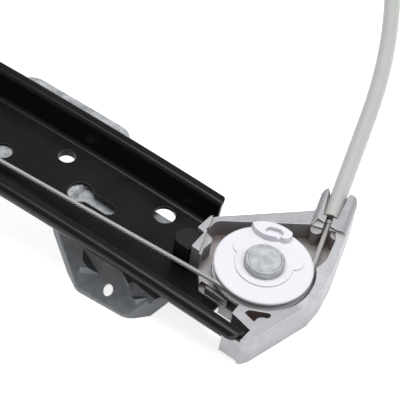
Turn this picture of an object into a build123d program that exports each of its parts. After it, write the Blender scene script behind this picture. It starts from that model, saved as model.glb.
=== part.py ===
from build123d import *
import os
from math import acos, cos, degrees, radians, sin, tan

# Single-rail cable window regulator, lying on its back, in millimetres.
# X runs along the rail, Y across it, Z up from the surface that it lies on.
# The origin is on that surface, on the cable drum's axis. The rail is an arc
# about a far axis parallel to Y, and X = 0 is its middle.

# Guide rail
RAIL_RADIUS = 1640.0
HALF_SPAN = 273.5
SHEET = 1.5
WEB_HALF_WIDTH = 22.0
WALL_HEIGHT = 13.2
WALL_LEAN = 1.4
FLANGE_HALF_WIDTH = 29.5
LIP_DROP = 3.6
BEND_RADIUS = 2.2
NEAR_FLANGE_END = 14.8
FAR_FLANGE_END = -31.9
WEB_END = -6.0
TIP_RADIUS = 5.0

# Holes in the web: distance in from the pulley axis, offset across, diameter
ROUND_HOLES = ((51.5, 13.6, 9.2), (124.0, -2.0, 8.6))
COLLARED_HOLE = (101.8, 13.0, 7.4)
COLLAR_WALL = 1.2
COLLAR_DEPTH = 2.0
KEYHOLE_INSET = 85.1
KEYHOLE_OFFSET = 0.6
KEYHOLE_DIAMETER = 11.0
KEYHOLE_SLOT_WIDTH = 6.2
KEYHOLE_SLOT_LENGTH = 14.4
MIDDLE_HOLE_DIAMETER = 8.6

# Pulleys
PULLEY_OFFSET = 9.5
PULLEY_RADIUS = 20.5
WRAP_RADIUS = 18.7
GROOVE_ROOT_RADIUS = 17.4
GROOVE_HALF_WIDTH = 1.2
GROOVE_HEIGHT = 10.4
PULLEY_BOTTOM = 7.4
PULLEY_TOP = 13.2
HUB_RING_RADIUS = 12.0
HUB_RING_TOP = 13.8
RING_LOBES = ((48, 12.4), (172, 11.4))
LOBE_RADIUS = 4.4
HUB_FACE_RADIUS = 9.3
HUB_FACE_TOP = 13.6
NOSE_TOP = 15.8

# Pulley pins
PIN_RADIUS = 5.0
PIN_FIT = 0.06
PIN_HEAD_RADIUS = 8.35
PIN_HEAD_BOTTOM = 14.0
PIN_HEAD_HEIGHT = 2.5

# Cast pulley brackets
CAST_BOTTOM = -4.0
CAST_FLOOR = 4.0
CAST_NEAR_TOP = 10.3
CAST_WALL_TOP = 13.2
SOCKET_TOP = 14.6
CAST_SKIRT = 2.6
RECESS_RADIUS = 21.8
BOSS_RADIUS = 8.0
PIN_BOSS_TOP = 6.9
END_GAP = 0.4

RIVET_PLACES = ((-15.0, 2.5), (-15.0, 16.5))
RIVET_RADIUS = 2.5

# Cable and conduits
CABLE_RADIUS = 0.92
CABLE_RIDE = 1.25
CONDUIT_RADIUS = 3.55
CONDUIT_FIT = 0.05
SOCKET_HEADING = 110.5
CONDUIT_START = 36.0
SOCKET_INNER = 28.4
SOCKET_OUTER = 49.3
SOCKET_INSIDE_HALF = 6.9
SOCKET_OUTSIDE_HALF = 8.6
MOUTH_INNER = 4.2
MOUTH_OUTER = 7.0
MOUTH_FLARE = 14.0
EAR_ROUNDING = 2.6
POST_RADIUS = 2.4
CABLE_SLOT = 2.8

# Stamped mounting brackets
STAMPING = 2.0

# Carriage
CARRIAGE_INSET = 0.0
CARRIAGE_HALF_LENGTH = 40.0
GLIDE_CLEARANCE = 0.35
GLIDE_LENGTH = 24.0
GLIDE_WALL = 2.8
PLATE_THICKNESS = 2.0
GLASS_GAP = 5.0

# Cable drum unit
DRUM_DISTANCE = 197.4
HOUSING_RADIUS = 31.5
HOUSING_WALL = 3.0
DRUM_RADIUS = HOUSING_RADIUS - HOUSING_WALL - 2.5
DRUM_WRAP_RADIUS = DRUM_RADIUS - 2.0
HOUSING_EAR_RADIUS = HOUSING_RADIUS + 9.5
SCREW_CIRCLE = HOUSING_RADIUS + 3.0
PORT_REACH = HOUSING_RADIUS + 14.5
DRUM_LOWER_GROOVE = 13.0
DRUM_UPPER_GROOVE = 18.5
PORT_HEADING = 192.0

# Heights and angles that follow from the sizes above
END_ANGLE = degrees(HALF_SPAN / RAIL_RADIUS)
CAST_REACH = 25.45
SEAT_HEIGHT = -CAST_BOTTOM * cos(radians(END_ANGLE)) + CAST_REACH * sin(radians(END_ANGLE))
APEX_HEIGHT = SEAT_HEIGHT + RAIL_RADIUS * (1 - cos(radians(END_ANGLE)))
AXIS_HEIGHT = APEX_HEIGHT - RAIL_RADIUS
EAR_PAD_RADIUS = 7.5
RAIL_Y = -DRUM_DISTANCE
DRUM_Y = 0.0

rail_axis = Axis((0, RAIL_Y, AXIS_HEIGHT), (0, 1, 0))


def section_plane(angle):
    """Plane across the rail: x is across, y is away from the rail's axis."""
    turn = radians(angle)
    origin = (RAIL_RADIUS * sin(turn), RAIL_Y, AXIS_HEIGHT + RAIL_RADIUS * cos(turn))
    return Plane(origin=origin, x_dir=(0, 1, 0), z_dir=(cos(turn), 0, -sin(turn)))


def seat_plane(angle):
    """Plane on the web: x is along the rail, y is across, z stands off the web."""
    turn = radians(angle)
    origin = (RAIL_RADIUS * sin(turn), RAIL_Y, AXIS_HEIGHT + RAIL_RADIUS * cos(turn))
    return Plane(origin=origin, x_dir=(cos(turn), 0, -sin(turn)), z_dir=(sin(turn), 0, cos(turn)))


def inset_angle(distance):
    """Angle of a place on the rail, from its distance in from the pulley axis."""
    return END_ANGLE - degrees(distance / RAIL_RADIUS)


def points(corners):
    """The places of an outline's corners."""
    return [(x, y) for x, y, _ in corners]


def radii(corners):
    """The radius of each corner of an outline."""
    return [radius for _, _, radius in corners]


def finish(builder, name):
    """Label a finished piece and write it out."""
    builder.part.label = name
    export_step(builder.part, f"parts/{name}.step")


os.makedirs("parts", exist_ok=True)
seat = seat_plane(END_ANGLE)


# ---------------------------------------------------------------- guide rail
LIP_BOTTOM = WALL_HEIGHT - LIP_DROP
channel_side = [
    (FLANGE_HALF_WIDTH, LIP_BOTTOM),
    (FLANGE_HALF_WIDTH, WALL_HEIGHT),
    (WEB_HALF_WIDTH + WALL_LEAN, WALL_HEIGHT),
    (WEB_HALF_WIDTH, 0),
]
channel_line = channel_side + [(-x, y) for x, y in reversed(channel_side)]
channel_radii = [BEND_RADIUS + 0.6, BEND_RADIUS, BEND_RADIUS] * 2
channel_radii[3:] = reversed(channel_radii[:3])
BLANK_ANGLE = END_ANGLE + degrees((NEAR_FLANGE_END + 4) / RAIL_RADIUS)
END_DEPTH = 130.0

with BuildPart() as guide_rail:
    with BuildSketch(section_plane(-BLANK_ANGLE)):
        with BuildLine():
            FilletPolyline(*channel_line, radius=channel_radii)
            offset(amount=SHEET, side=Side.LEFT)
        make_face()
    revolve(axis=rail_axis, revolution_arc=2 * BLANK_ANGLE)
    # The collared hole's drawn rim stands below the web at each end.
    for side in (1, -1):
        inset, across, diameter = COLLARED_HOLE
        with BuildSketch(seat_plane(side * inset_angle(inset)).offset(-SHEET / 2)):
            with Locations((0, across)):
                Circle(diameter / 2 + COLLAR_WALL)
        extrude(amount=-SHEET / 2 - COLLAR_DEPTH)
        with BuildSketch(seat_plane(side * inset_angle(inset)).offset(1)):
            with Locations((0, across)):
                Circle(diameter / 2)
        extrude(amount=-SHEET - COLLAR_DEPTH - 2, mode=Mode.SUBTRACT)
        for inset, across, diameter in ROUND_HOLES:
            with BuildSketch(seat_plane(side * inset_angle(inset))):
                with Locations((0, across)):
                    Circle(diameter / 2)
            extrude(amount=2 * SHEET, both=True, mode=Mode.SUBTRACT)
        with BuildSketch(seat_plane(side * inset_angle(KEYHOLE_INSET))):
            with Locations((0, KEYHOLE_OFFSET)):
                Circle(KEYHOLE_DIAMETER / 2)
            with Locations((side * KEYHOLE_SLOT_LENGTH / 2, KEYHOLE_OFFSET)):
                SlotCenterToCenter(KEYHOLE_SLOT_LENGTH, KEYHOLE_SLOT_WIDTH)
        extrude(amount=2 * SHEET, both=True, mode=Mode.SUBTRACT)
    with BuildSketch(seat_plane(0)):
        with Locations((-60, 0), (0, 0), (60, 0)):
            Circle(MIDDLE_HOLE_DIAMETER / 2)
    extrude(amount=2 * SHEET, both=True, mode=Mode.SUBTRACT)
    # Each end is trimmed in steps: far flange, web, then near flange.
    for side in (1, -1):
        end_outline = [
            (side * -600, -FLANGE_HALF_WIDTH, 0),
            (side * NEAR_FLANGE_END, -FLANGE_HALF_WIDTH, TIP_RADIUS),
            (side * NEAR_FLANGE_END, -16, 0.5),
            (side * WEB_END, -16, 1.5),
            (side * WEB_END, 20.8, 2),
            (side * FAR_FLANGE_END, 20.8, 0.5),
            (side * FAR_FLANGE_END, FLANGE_HALF_WIDTH, TIP_RADIUS),
            (side * -600, FLANGE_HALF_WIDTH, 0),
        ]
        with BuildSketch(seat_plane(side * END_ANGLE)):
            with BuildLine():
                FilletPolyline(*points(end_outline), radius=radii(end_outline), close=True)
            make_face()
        extrude(amount=END_DEPTH, both=True, mode=Mode.INTERSECT)
        with BuildSketch(seat_plane(side * END_ANGLE)):
            with Locations(*[(side * u, v) for u, v in RIVET_PLACES]):
                Circle(RIVET_RADIUS)
        extrude(amount=2 * SHEET, both=True, mode=Mode.SUBTRACT)
finish(guide_rail, "guide_rail")


# ------------------------------------------------------- cable's way in plan
# Along the seat plane the cable leaves the pulley's rim at the tangent point
# and runs to the conduit's socket on the socket heading.
along_dir = (cos(radians(SOCKET_HEADING)), sin(radians(SOCKET_HEADING)))
out_dir = (sin(radians(SOCKET_HEADING)), -cos(radians(SOCKET_HEADING)))
tangent_point = (WRAP_RADIUS * out_dir[0], PULLEY_OFFSET + WRAP_RADIUS * out_dir[1])


def by_socket(along, out):
    """A place in the seat plane, from the tangent point along and out of the cable's line."""
    return (
        tangent_point[0] + along * along_dir[0] + out * out_dir[0],
        tangent_point[1] + along * along_dir[1] + out * out_dir[1],
    )


def socket_section(along):
    """Plane across the socket at a distance along it, x inwards and y off the web."""
    u, v = by_socket(along, 0)
    centre = seat.from_local_coords((u, v, GROOVE_HEIGHT))
    forward = seat.from_local_coords((*by_socket(along + 1, 0), GROOVE_HEIGHT)) - centre
    sideways = seat.from_local_coords((*by_socket(along, -1), GROOVE_HEIGHT)) - centre
    return Plane(origin=centre, x_dir=sideways, z_dir=forward)


# ----------------------------------------------------- cast pulley brackets
casting_outline = [
    (-31.1, 5.9, 0.6),
    (-30.9, 14.2, 1.5),
    (-28.9, 17.4, 1.5),
    (*by_socket(SOCKET_OUTER - 13, -SOCKET_INSIDE_HALF), 2),
    (*by_socket(SOCKET_OUTER, -SOCKET_INSIDE_HALF), 3.6),
    (*by_socket(SOCKET_OUTER, SOCKET_OUTSIDE_HALF), 3.6),
    (*by_socket(12.4, SOCKET_OUTSIDE_HALF), 10),
    (24.6, 18.0, 10),
    (25.4, 8.5, 6),
    (18.9, -23.0, 1.5),
    (16.9, -26.7, 1.2),
    (15.2, -26.7, 0.4),
    (15.2, -19.8, 0.6),
    (4.5, -17.6, 0.6),
    (3.8, -10.8, 0.6),
    (-16.0, -10.8, 0.6),
    (-21.9, -3.9, 0.6),
    (-27.0, -3.9, 0.6),
    (-27.5, 5.5, 0.3),
]
well_outline = [
    (3.8, -16.0, 0),
    (3.8, -11.5, 0.5),
    (14.0, 9.5, 0),
    (17.2, 29.5, 4),
    (*by_socket(24, SOCKET_OUTSIDE_HALF - 3.4), 2),
    (*by_socket(SOCKET_INNER, SOCKET_OUTSIDE_HALF - 4.5), 0.5),
    (*by_socket(SOCKET_INNER, -SOCKET_INSIDE_HALF + 0.6), 1),
    (-26.9, 16.0, 1),
    (-28.0, 14.0, 1),
    (-28.0, 7.3, 0.5),
    (-23.7, 6.1, 0.6),
    (-22.8, 4.5, 0.6),
    (-23.1, -0.7, 0.5),
    (-21.9, -3.7, 0.3),
    (-20.0, -16.0, 0),
]
near_pocket = [
    (7.9, -14.1, 0.9),
    (8.6, -11.6, 0.9),
    (16.5, -7.0, 0.9),
    (17.3, -9.1, 0.6),
    (13.8, -15.3, 1.5),
]
PEG_RADIUS = 2.2
PEG_HEIGHT = 7.0

with BuildPart() as lower_pulley_bracket:
    with BuildSketch(seat.offset(CAST_BOTTOM)):
        with BuildLine():
            FilletPolyline(*points(casting_outline), radius=radii(casting_outline), close=True)
        make_face()
    extrude(amount=SOCKET_TOP - CAST_BOTTOM)
    # The floor is sunk between the walls, the fork and the conduit's socket.
    with BuildSketch(seat.offset(CAST_FLOOR)):
        with BuildLine():
            FilletPolyline(*points(well_outline), radius=radii(well_outline), close=True)
        make_face()
        with Locations((0, PULLEY_OFFSET)):
            Circle(RECESS_RADIUS)
    extrude(amount=20, mode=Mode.SUBTRACT)
    # The far wall and the fork are lower than the socket.
    with BuildSketch(seat.offset(CAST_WALL_TOP)):
        with Locations(Location((*by_socket(SOCKET_INNER, 0), 0), SOCKET_HEADING)):
            Rectangle(90, 90, align=(Align.MAX, Align.CENTER))
    extrude(amount=10, mode=Mode.SUBTRACT)
    # The near wall's top is low beside the pulley and rises towards the socket.
    with BuildSketch(Plane(origin=seat.origin, x_dir=(0, 1, 0), z_dir=seat.x_dir).offset(2)):
        with BuildLine():
            Polyline(
                (-40, CAST_NEAR_TOP),
                (4, CAST_NEAR_TOP),
                (44, CAST_WALL_TOP),
                (44, 30),
                (-40, 30),
                close=True,
            )
        make_face()
    extrude(amount=40, mode=Mode.SUBTRACT)
    # Below the floor it is hollow, but for the skirt, the pin's boss and three ribs.
    with BuildSketch(seat.offset(CAST_BOTTOM)):
        with BuildLine():
            FilletPolyline(*points(casting_outline), radius=radii(casting_outline), close=True)
        make_face()
        offset(amount=-CAST_SKIRT, mode=Mode.REPLACE)
        with Locations((0, PULLEY_OFFSET)):
            Circle(BOSS_RADIUS, mode=Mode.SUBTRACT)
            for heading in (0, 52, -62):
                Rectangle(
                    50,
                    2.2,
                    rotation=heading,
                    align=(Align.MIN, Align.CENTER),
                    mode=Mode.SUBTRACT,
                )
    extrude(amount=-CAST_BOTTOM, mode=Mode.SUBTRACT)
    # The skirt and the boss stop short of the rail.
    with BuildSketch(seat.offset(CAST_BOTTOM - 1)):
        with Locations((WEB_END + END_GAP, -16 + END_GAP)):
            Rectangle(40, 37, align=(Align.MAX, Align.MIN))
        with Locations((NEAR_FLANGE_END + END_GAP, -16 + END_GAP)):
            Rectangle(60, 20, align=(Align.MAX, Align.MAX))
    extrude(amount=1 - CAST_BOTTOM, mode=Mode.SUBTRACT)
    with BuildSketch(seat.offset(-0.1)):
        with Locations((WEB_END + END_GAP, 19.4)):
            Rectangle(30, 2.2, align=(Align.MAX, Align.MIN))
    extrude(amount=0.5, mode=Mode.SUBTRACT)
    # Two half-round posts stand at the socket's inner end, beside the cable.
    with BuildSketch(seat.offset(CAST_FLOOR - 1)):
        with Locations(*[by_socket(SOCKET_INNER - 0.6, 0.4 + side * 4.3) for side in (-1, 1)]):
            Circle(POST_RADIUS)
    extrude(amount=GROOVE_HEIGHT - CAST_FLOOR + 2.4)
    # Side lug that wraps the near wall of the rail from outside.
    with BuildSketch(seat.offset(-3)):
        with Locations((6.6, -26.7)):
            Rectangle(9.5, 1.5, align=(Align.MIN, Align.MIN))
    extrude(amount=11.5)
    # The boss under the pulley and the pin's bore.
    with BuildSketch(seat.offset(CAST_FLOOR)):
        with Locations((0, PULLEY_OFFSET)):
            Circle(BOSS_RADIUS)
    extrude(amount=PIN_BOSS_TOP - CAST_FLOOR)
    with BuildSketch(seat.offset(CAST_BOTTOM)):
        with Locations((0, PULLEY_OFFSET)):
            Circle(PIN_RADIUS)
    extrude(amount=20, mode=Mode.SUBTRACT)
    # Weight-saving pocket beside the rail, with an ejector pad at its edge.
    with BuildSketch(seat.offset(CAST_FLOOR - 2)):
        with BuildLine():
            FilletPolyline(*points(near_pocket), radius=radii(near_pocket), close=True)
        make_face()
    extrude(amount=20, mode=Mode.SUBTRACT)
    with BuildSketch(seat.offset(CAST_FLOOR - 2)):
        with Locations((17.0, -13.7)):
            Circle(3.3)
    extrude(amount=CAST_NEAR_TOP - CAST_FLOOR + 2)
    # The socket's ears are rounded along their outer edges, above the walls.
    with BuildSketch(socket_section(SOCKET_INNER - 0.5)):
        with Locations((0, CAST_WALL_TOP - GROOVE_HEIGHT)):
            Rectangle(120, 14, align=(Align.CENTER, Align.MIN))
        with BuildLine():
            FilletPolyline(
                (-SOCKET_OUTSIDE_HALF, -2),
                (-SOCKET_OUTSIDE_HALF, SOCKET_TOP - GROOVE_HEIGHT),
                (SOCKET_INSIDE_HALF, SOCKET_TOP - GROOVE_HEIGHT),
                (SOCKET_INSIDE_HALF, -2),
                radius=[0, EAR_ROUNDING, EAR_ROUNDING, 0],
                close=True,
            )
        make_face(mode=Mode.SUBTRACT)
    extrude(amount=30, mode=Mode.SUBTRACT)
    # Conduit bore, its mouth that widens outwards, and the slot for the cable.
    with BuildSketch(socket_section(CONDUIT_START - 0.8)):
        Circle(CONDUIT_RADIUS + CONDUIT_FIT)
    extrude(amount=20, mode=Mode.SUBTRACT)
    with BuildSketch(seat.offset(GROOVE_HEIGHT)):
        with BuildLine():
            Polyline(
                by_socket(CONDUIT_START - 0.8, -MOUTH_INNER / 2),
                by_socket(SOCKET_OUTER + 1, -MOUTH_OUTER / 2),
                by_socket(SOCKET_OUTER + 1, MOUTH_OUTER / 2),
                by_socket(CONDUIT_START - 0.8, MOUTH_INNER / 2),
                close=True,
            )
        make_face()
    extrude(amount=10, taper=-MOUTH_FLARE, mode=Mode.SUBTRACT)
    with BuildSketch(socket_section(SOCKET_INNER - 6)):
        Circle(CABLE_SLOT / 2)
        Rectangle(CABLE_SLOT, 10, align=(Align.CENTER, Align.MIN))
    extrude(amount=CONDUIT_START - SOCKET_INNER + 6, mode=Mode.SUBTRACT)
    # Low rib beside the floor's edge, along the rail.
    with BuildSketch(seat):
        with Locations((-13.5, -10.6)):
            Rectangle(11, 1.3, align=(Align.MIN, Align.MIN))
    extrude(amount=CAST_FLOOR + 1.2)
    with BuildSketch(seat.offset(1.4)):
        with Locations((-17.0, -12.0)):
            Rectangle(20.4, 4.2, align=(Align.MIN, Align.MIN))
        with Locations((-13.5, -10.6)):
            Rectangle(11, 1.3, align=(Align.MIN, Align.MIN), mode=Mode.SUBTRACT)
    extrude(amount=4, mode=Mode.SUBTRACT)
    # Rivet holes through the floor and the bump stop's peg hole.
    with BuildSketch(seat):
        with Locations(*RIVET_PLACES):
            Circle(RIVET_RADIUS)
    extrude(amount=CAST_FLOOR, mode=Mode.SUBTRACT)
    peg_plane = Plane(
        origin=seat.from_local_coords((-27.6, 1, PEG_HEIGHT)), x_dir=(0, 1, 0), z_dir=seat.x_dir
    )
    with BuildSketch(peg_plane.offset(-1)):
        Circle(PEG_RADIUS)
    extrude(amount=4.4, mode=Mode.SUBTRACT)
finish(lower_pulley_bracket, "lower_pulley_bracket")

# The upper bracket is the lower one's mirror image with a mounting ear.
EAR_LENGTH = 16.0
EAR_HALF_WIDTH = 8.0
EAR_HOLE_DIAMETER = 6.6
EAR_OFFSET = 8.0
EAR_THICKNESS = 4.5
with BuildPart() as upper_pulley_bracket:
    add(lower_pulley_bracket.part)
    with BuildSketch(seat.offset(-1.0)):
        with BuildLine():
            FilletPolyline(
                (23.5, EAR_OFFSET + EAR_HALF_WIDTH + 4),
                (24.0 + EAR_LENGTH, EAR_OFFSET + EAR_HALF_WIDTH),
                (32.0 + EAR_LENGTH, EAR_OFFSET),
                (24.0 + EAR_LENGTH, EAR_OFFSET - EAR_HALF_WIDTH),
                (23.5, EAR_OFFSET - EAR_HALF_WIDTH - 4),
                radius=[0, 5.5, 5.5, 5.5, 0],
                close=True,
            )
        make_face()
        with Locations((24.0 + EAR_LENGTH, EAR_OFFSET)):
            Circle(EAR_HOLE_DIAMETER / 2, mode=Mode.SUBTRACT)
    extrude(amount=EAR_THICKNESS)
    mirror(about=Plane.YZ, mode=Mode.REPLACE)
finish(upper_pulley_bracket, "upper_pulley_bracket")


# --------------------------------------------------------- rivets and pins
with BuildPart() as lower_bracket_rivets:
    with BuildSketch(seat.offset(-SHEET)):
        with Locations(*RIVET_PLACES):
            Circle(RIVET_RADIUS)
    extrude(amount=SHEET + CAST_FLOOR)
    with BuildSketch(seat.offset(CAST_FLOOR)):
        with Locations(*RIVET_PLACES):
            Circle(4.2)
    extrude(amount=1.9, taper=20)
    with BuildSketch(seat.offset(-SHEET - 0.14)):
        with Locations(*RIVET_PLACES):
            Circle(4.0)
    extrude(amount=-1.5, taper=15)
with BuildPart() as upper_bracket_rivets:
    add(lower_bracket_rivets.part)
    mirror(about=Plane.YZ, mode=Mode.REPLACE)
finish(lower_bracket_rivets, "lower_bracket_rivets")
finish(upper_bracket_rivets, "upper_bracket_rivets")

pulley_seat = Plane(
    origin=seat.from_local_coords((0, PULLEY_OFFSET, 0)), x_dir=seat.x_dir, z_dir=seat.z_dir
)
pulley_section = Plane(origin=pulley_seat.origin, x_dir=seat.x_dir, z_dir=(0, -1, 0))
pulley_axis = Axis(pulley_seat.origin, pulley_seat.z_dir)

with BuildPart() as lower_pulley_pin:
    with BuildSketch(pulley_section):
        with BuildLine():
            Polyline(
                (0, CAST_BOTTOM - 1.4),
                (5.8, CAST_BOTTOM - 1.4),
                (6.6, CAST_BOTTOM),
                (PIN_RADIUS, CAST_BOTTOM),
                (PIN_RADIUS, PIN_HEAD_BOTTOM),
                (PIN_HEAD_RADIUS, PIN_HEAD_BOTTOM),
                (PIN_HEAD_RADIUS, PIN_HEAD_BOTTOM + PIN_HEAD_HEIGHT - 0.5),
                (PIN_HEAD_RADIUS - 0.6, PIN_HEAD_BOTTOM + PIN_HEAD_HEIGHT),
                (0, PIN_HEAD_BOTTOM + PIN_HEAD_HEIGHT),
                close=True,
            )
        make_face()
    revolve(axis=pulley_axis)
with BuildPart() as upper_pulley_pin:
    add(lower_pulley_pin.part)
    mirror(about=Plane.YZ, mode=Mode.REPLACE)
finish(lower_pulley_pin, "lower_pulley_pin")
finish(upper_pulley_pin, "upper_pulley_pin")


# ------------------------------------------------------------------ pulleys
with BuildPart() as lower_pulley:
    with BuildSketch(pulley_section):
        with BuildLine():
            Polyline(
                (PIN_RADIUS + PIN_FIT, PULLEY_BOTTOM - 0.3),
                (9.5, PULLEY_BOTTOM - 0.3),
                (9.5, PULLEY_BOTTOM),
                (PULLEY_RADIUS, PULLEY_BOTTOM),
                (PULLEY_RADIUS, GROOVE_HEIGHT - GROOVE_HALF_WIDTH - 0.5),
                (GROOVE_ROOT_RADIUS, GROOVE_HEIGHT - GROOVE_HALF_WIDTH),
                (GROOVE_ROOT_RADIUS, GROOVE_HEIGHT + GROOVE_HALF_WIDTH),
                (PULLEY_RADIUS, GROOVE_HEIGHT + GROOVE_HALF_WIDTH + 0.5),
                (PULLEY_RADIUS, PULLEY_TOP - 0.4),
                (PULLEY_RADIUS - 0.5, PULLEY_TOP),
                (HUB_FACE_RADIUS + 1, PULLEY_TOP),
                (HUB_FACE_RADIUS, HUB_FACE_TOP),
                (PIN_RADIUS + PIN_FIT, HUB_FACE_TOP),
                close=True,
            )
        make_face()
    revolve(axis=pulley_axis)
    # Low raised ring round the hub that reaches further out on two sides.
    with BuildSketch(pulley_seat.offset(PULLEY_TOP - 0.2)):
        Circle(HUB_RING_RADIUS)
        for heading, reach in RING_LOBES:
            with PolarLocations(reach, 1, heading):
                Circle(LOBE_RADIUS)
        Circle(HUB_FACE_RADIUS, mode=Mode.SUBTRACT)
    extrude(amount=HUB_RING_TOP - PULLEY_TOP + 0.2)
    # Raised nose at the rim with a round pocket that takes the cable's loop.
    with BuildSketch(pulley_seat.offset(PULLEY_TOP - 0.4)):
        with BuildLine():
            nose_back = ThreePointArc((-0.2, 20.2), (-9.2, 19.3), (-16.2, 13.2))
            nose_end = Line(nose_back @ 1, (-14.6, 11.6))
            nose_front = ThreePointArc(nose_end @ 1, (-8.0, 10.9), (-2.6, 14.2))
            ThreePointArc(nose_front @ 1, (0.9, 16.8), nose_back @ 0)
        make_face()
    extrude(amount=NOSE_TOP - PULLEY_TOP + 0.4, taper=8)
    with BuildSketch(pulley_seat.offset(NOSE_TOP)):
        with Locations(Location((-6.0, 15.0, 0), 22)):
            SlotOverall(7.4, 4.4)
    extrude(amount=-1.8, mode=Mode.SUBTRACT)
with BuildPart() as upper_pulley:
    add(lower_pulley.part)
    mirror(about=Plane.YZ, mode=Mode.REPLACE)
finish(lower_pulley, "lower_pulley")
finish(upper_pulley, "upper_pulley")


# --------------------------------------------------------------- bump stops
BUMP_FACE = -36.5
with BuildPart() as lower_bump_stop:
    bump_outline = [
        (-27.65, 5.4, 0.5),
        (BUMP_FACE, 5.4, 4.6),
        (BUMP_FACE, -4.9, 4.6),
        (-27.2, -4.9, 0.5),
    ]
    with BuildSketch(seat.offset(0.05)):
        with BuildLine():
            FilletPolyline(*points(bump_outline), radius=radii(bump_outline), close=True)
        make_face()
    extrude(amount=12.6)
    with BuildSketch(peg_plane.offset(-1)):
        Circle(PEG_RADIUS)
    extrude(amount=4.3)
    with BuildPart(mode=Mode.SUBTRACT):
        add(lower_pulley_bracket.part)
finish(lower_bump_stop, "lower_bump_stop")
with BuildPart() as upper_bump_stop:
    add(lower_bump_stop.part)
    mirror(about=Plane.YZ, mode=Mode.REPLACE)
finish(upper_bump_stop, "upper_bump_stop")


# ------------------------------------------------------- regulator cable
# Off each pulley the cable drops to the web and rides along it, so its run
# is straight, then an arc a little above the web, then straight again.
LEAD_OFF = 9.0
LEAD_BEND_RADIUS = 40.0
RIDE_RADIUS = RAIL_RADIUS + CABLE_RIDE
line_drop = tangent_point[1] - (PULLEY_OFFSET - WRAP_RADIUS)
corner_u = tangent_point[0] + line_drop / tan(radians(180 - SOCKET_HEADING))
cable_end = by_socket(CONDUIT_START, 0)
wrap_corner = seat.from_local_coords((corner_u, PULLEY_OFFSET - WRAP_RADIUS, GROOVE_HEIGHT))
lead_corner = seat.from_local_coords((-LEAD_OFF, PULLEY_OFFSET - WRAP_RADIUS, GROOVE_HEIGHT))
lead_radius = ((lead_corner.X) ** 2 + (lead_corner.Z - AXIS_HEIGHT) ** 2) ** 0.5
lead_angle = degrees(radians(90) - acos(lead_corner.X / lead_radius))
ride_angle = lead_angle - degrees(acos(RIDE_RADIUS / lead_radius))
cable_path = [
    seat.from_local_coords((*cable_end, GROOVE_HEIGHT)),
    wrap_corner,
    lead_corner,
    Vector(0, lead_corner.Y, AXIS_HEIGHT + RIDE_RADIUS / cos(radians(ride_angle))),
    Vector(-lead_corner.X, lead_corner.Y, lead_corner.Z),
    Vector(-wrap_corner.X, wrap_corner.Y, wrap_corner.Z),
]
cable_path.append(Vector(-cable_path[0].X, cable_path[0].Y, cable_path[0].Z))
cable_radii = [WRAP_RADIUS, LEAD_BEND_RADIUS, RIDE_RADIUS, LEAD_BEND_RADIUS, WRAP_RADIUS]
with BuildPart() as regulator_cable:
    with BuildLine() as cable_line:
        FilletPolyline(*cable_path, radius=cable_radii)
    with BuildSketch(Plane(origin=cable_line.line @ 0, z_dir=cable_line.line % 0)):
        Circle(CABLE_RADIUS)
    sweep()
finish(regulator_cable, "regulator_cable")


# -------------------------------------------------------------- conduits
DRUM_PORT_HEIGHT = (DRUM_LOWER_GROOVE + DRUM_UPPER_GROOVE) / 2
port_dir = (cos(radians(PORT_HEADING)), sin(radians(PORT_HEADING)))
port_side = (-sin(radians(PORT_HEADING - 180)), cos(radians(PORT_HEADING - 180)))


def by_port(back, height):
    """A place on the cable's line into the drum, back from where it meets the drum."""
    return Vector(
        DRUM_WRAP_RADIUS * port_side[0] - back * port_dir[0],
        DRUM_Y + DRUM_WRAP_RADIUS * port_side[1] - back * port_dir[1],
        height,
    )


BEND_START = 101.0
FIRST_BEND_RADIUS = 320.0
SECOND_BEND_RADIUS = 140.0
PORT_BEND_RADIUS = 70.0
conduit_path = [
    seat.from_local_coords((*by_socket(CONDUIT_START, 0), GROOVE_HEIGHT)),
    seat.from_local_coords((*by_socket(CONDUIT_START + BEND_START, 0), GROOVE_HEIGHT)),
    by_port(176, 29),
    by_port(PORT_REACH + 14, DRUM_PORT_HEIGHT),
    by_port(PORT_REACH - 6, DRUM_PORT_HEIGHT),
]
with BuildPart() as lower_conduit:
    with BuildLine() as conduit_line:
        FilletPolyline(
            *conduit_path, radius=[FIRST_BEND_RADIUS, SECOND_BEND_RADIUS, PORT_BEND_RADIUS]
        )
    with BuildSketch(Plane(origin=conduit_line.line @ 0, z_dir=conduit_line.line % 0)):
        Circle(CONDUIT_RADIUS)
    sweep()
with BuildPart() as upper_conduit:
    add(lower_conduit.part)
    mirror(about=Plane.YZ, mode=Mode.REPLACE)
finish(lower_conduit, "lower_conduit")
finish(upper_conduit, "upper_conduit")


# ------------------------------------------------------------- drum unit
HOUSING_FLOOR = 3.0
HOUSING_TOP = 23.0
COVER_THICKNESS = 2.5
DRUM_BOTTOM = 4.0
DRUM_TOP = 22.0
DRUM_BORE = 7.0
EAR_HOLE_RADIUS = 3.25
HOUSING_EAR_HEIGHT = 6.0
EAR_ANGLES = (90, -30, -150)
SCREW_ANGLES = (-90, 30, 150)
PORT_HALF_WIDTH = 6.5
drum_centre = Plane(origin=(0, DRUM_Y, 0), x_dir=(1, 0, 0), z_dir=(0, 0, 1))
drum_section = Plane(origin=(0, DRUM_Y, 0), x_dir=(1, 0, 0), z_dir=(0, -1, 0))


def port_plane(side, back):
    """Plane across one of the drum's two cable ports, z pointing away from the drum."""
    place = by_port(back, DRUM_PORT_HEIGHT)
    return Plane(
        origin=(side * place.X, place.Y, place.Z),
        x_dir=(side * port_side[0], port_side[1], 0),
        z_dir=(-side * port_dir[0], -port_dir[1], 0),
    )


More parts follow.
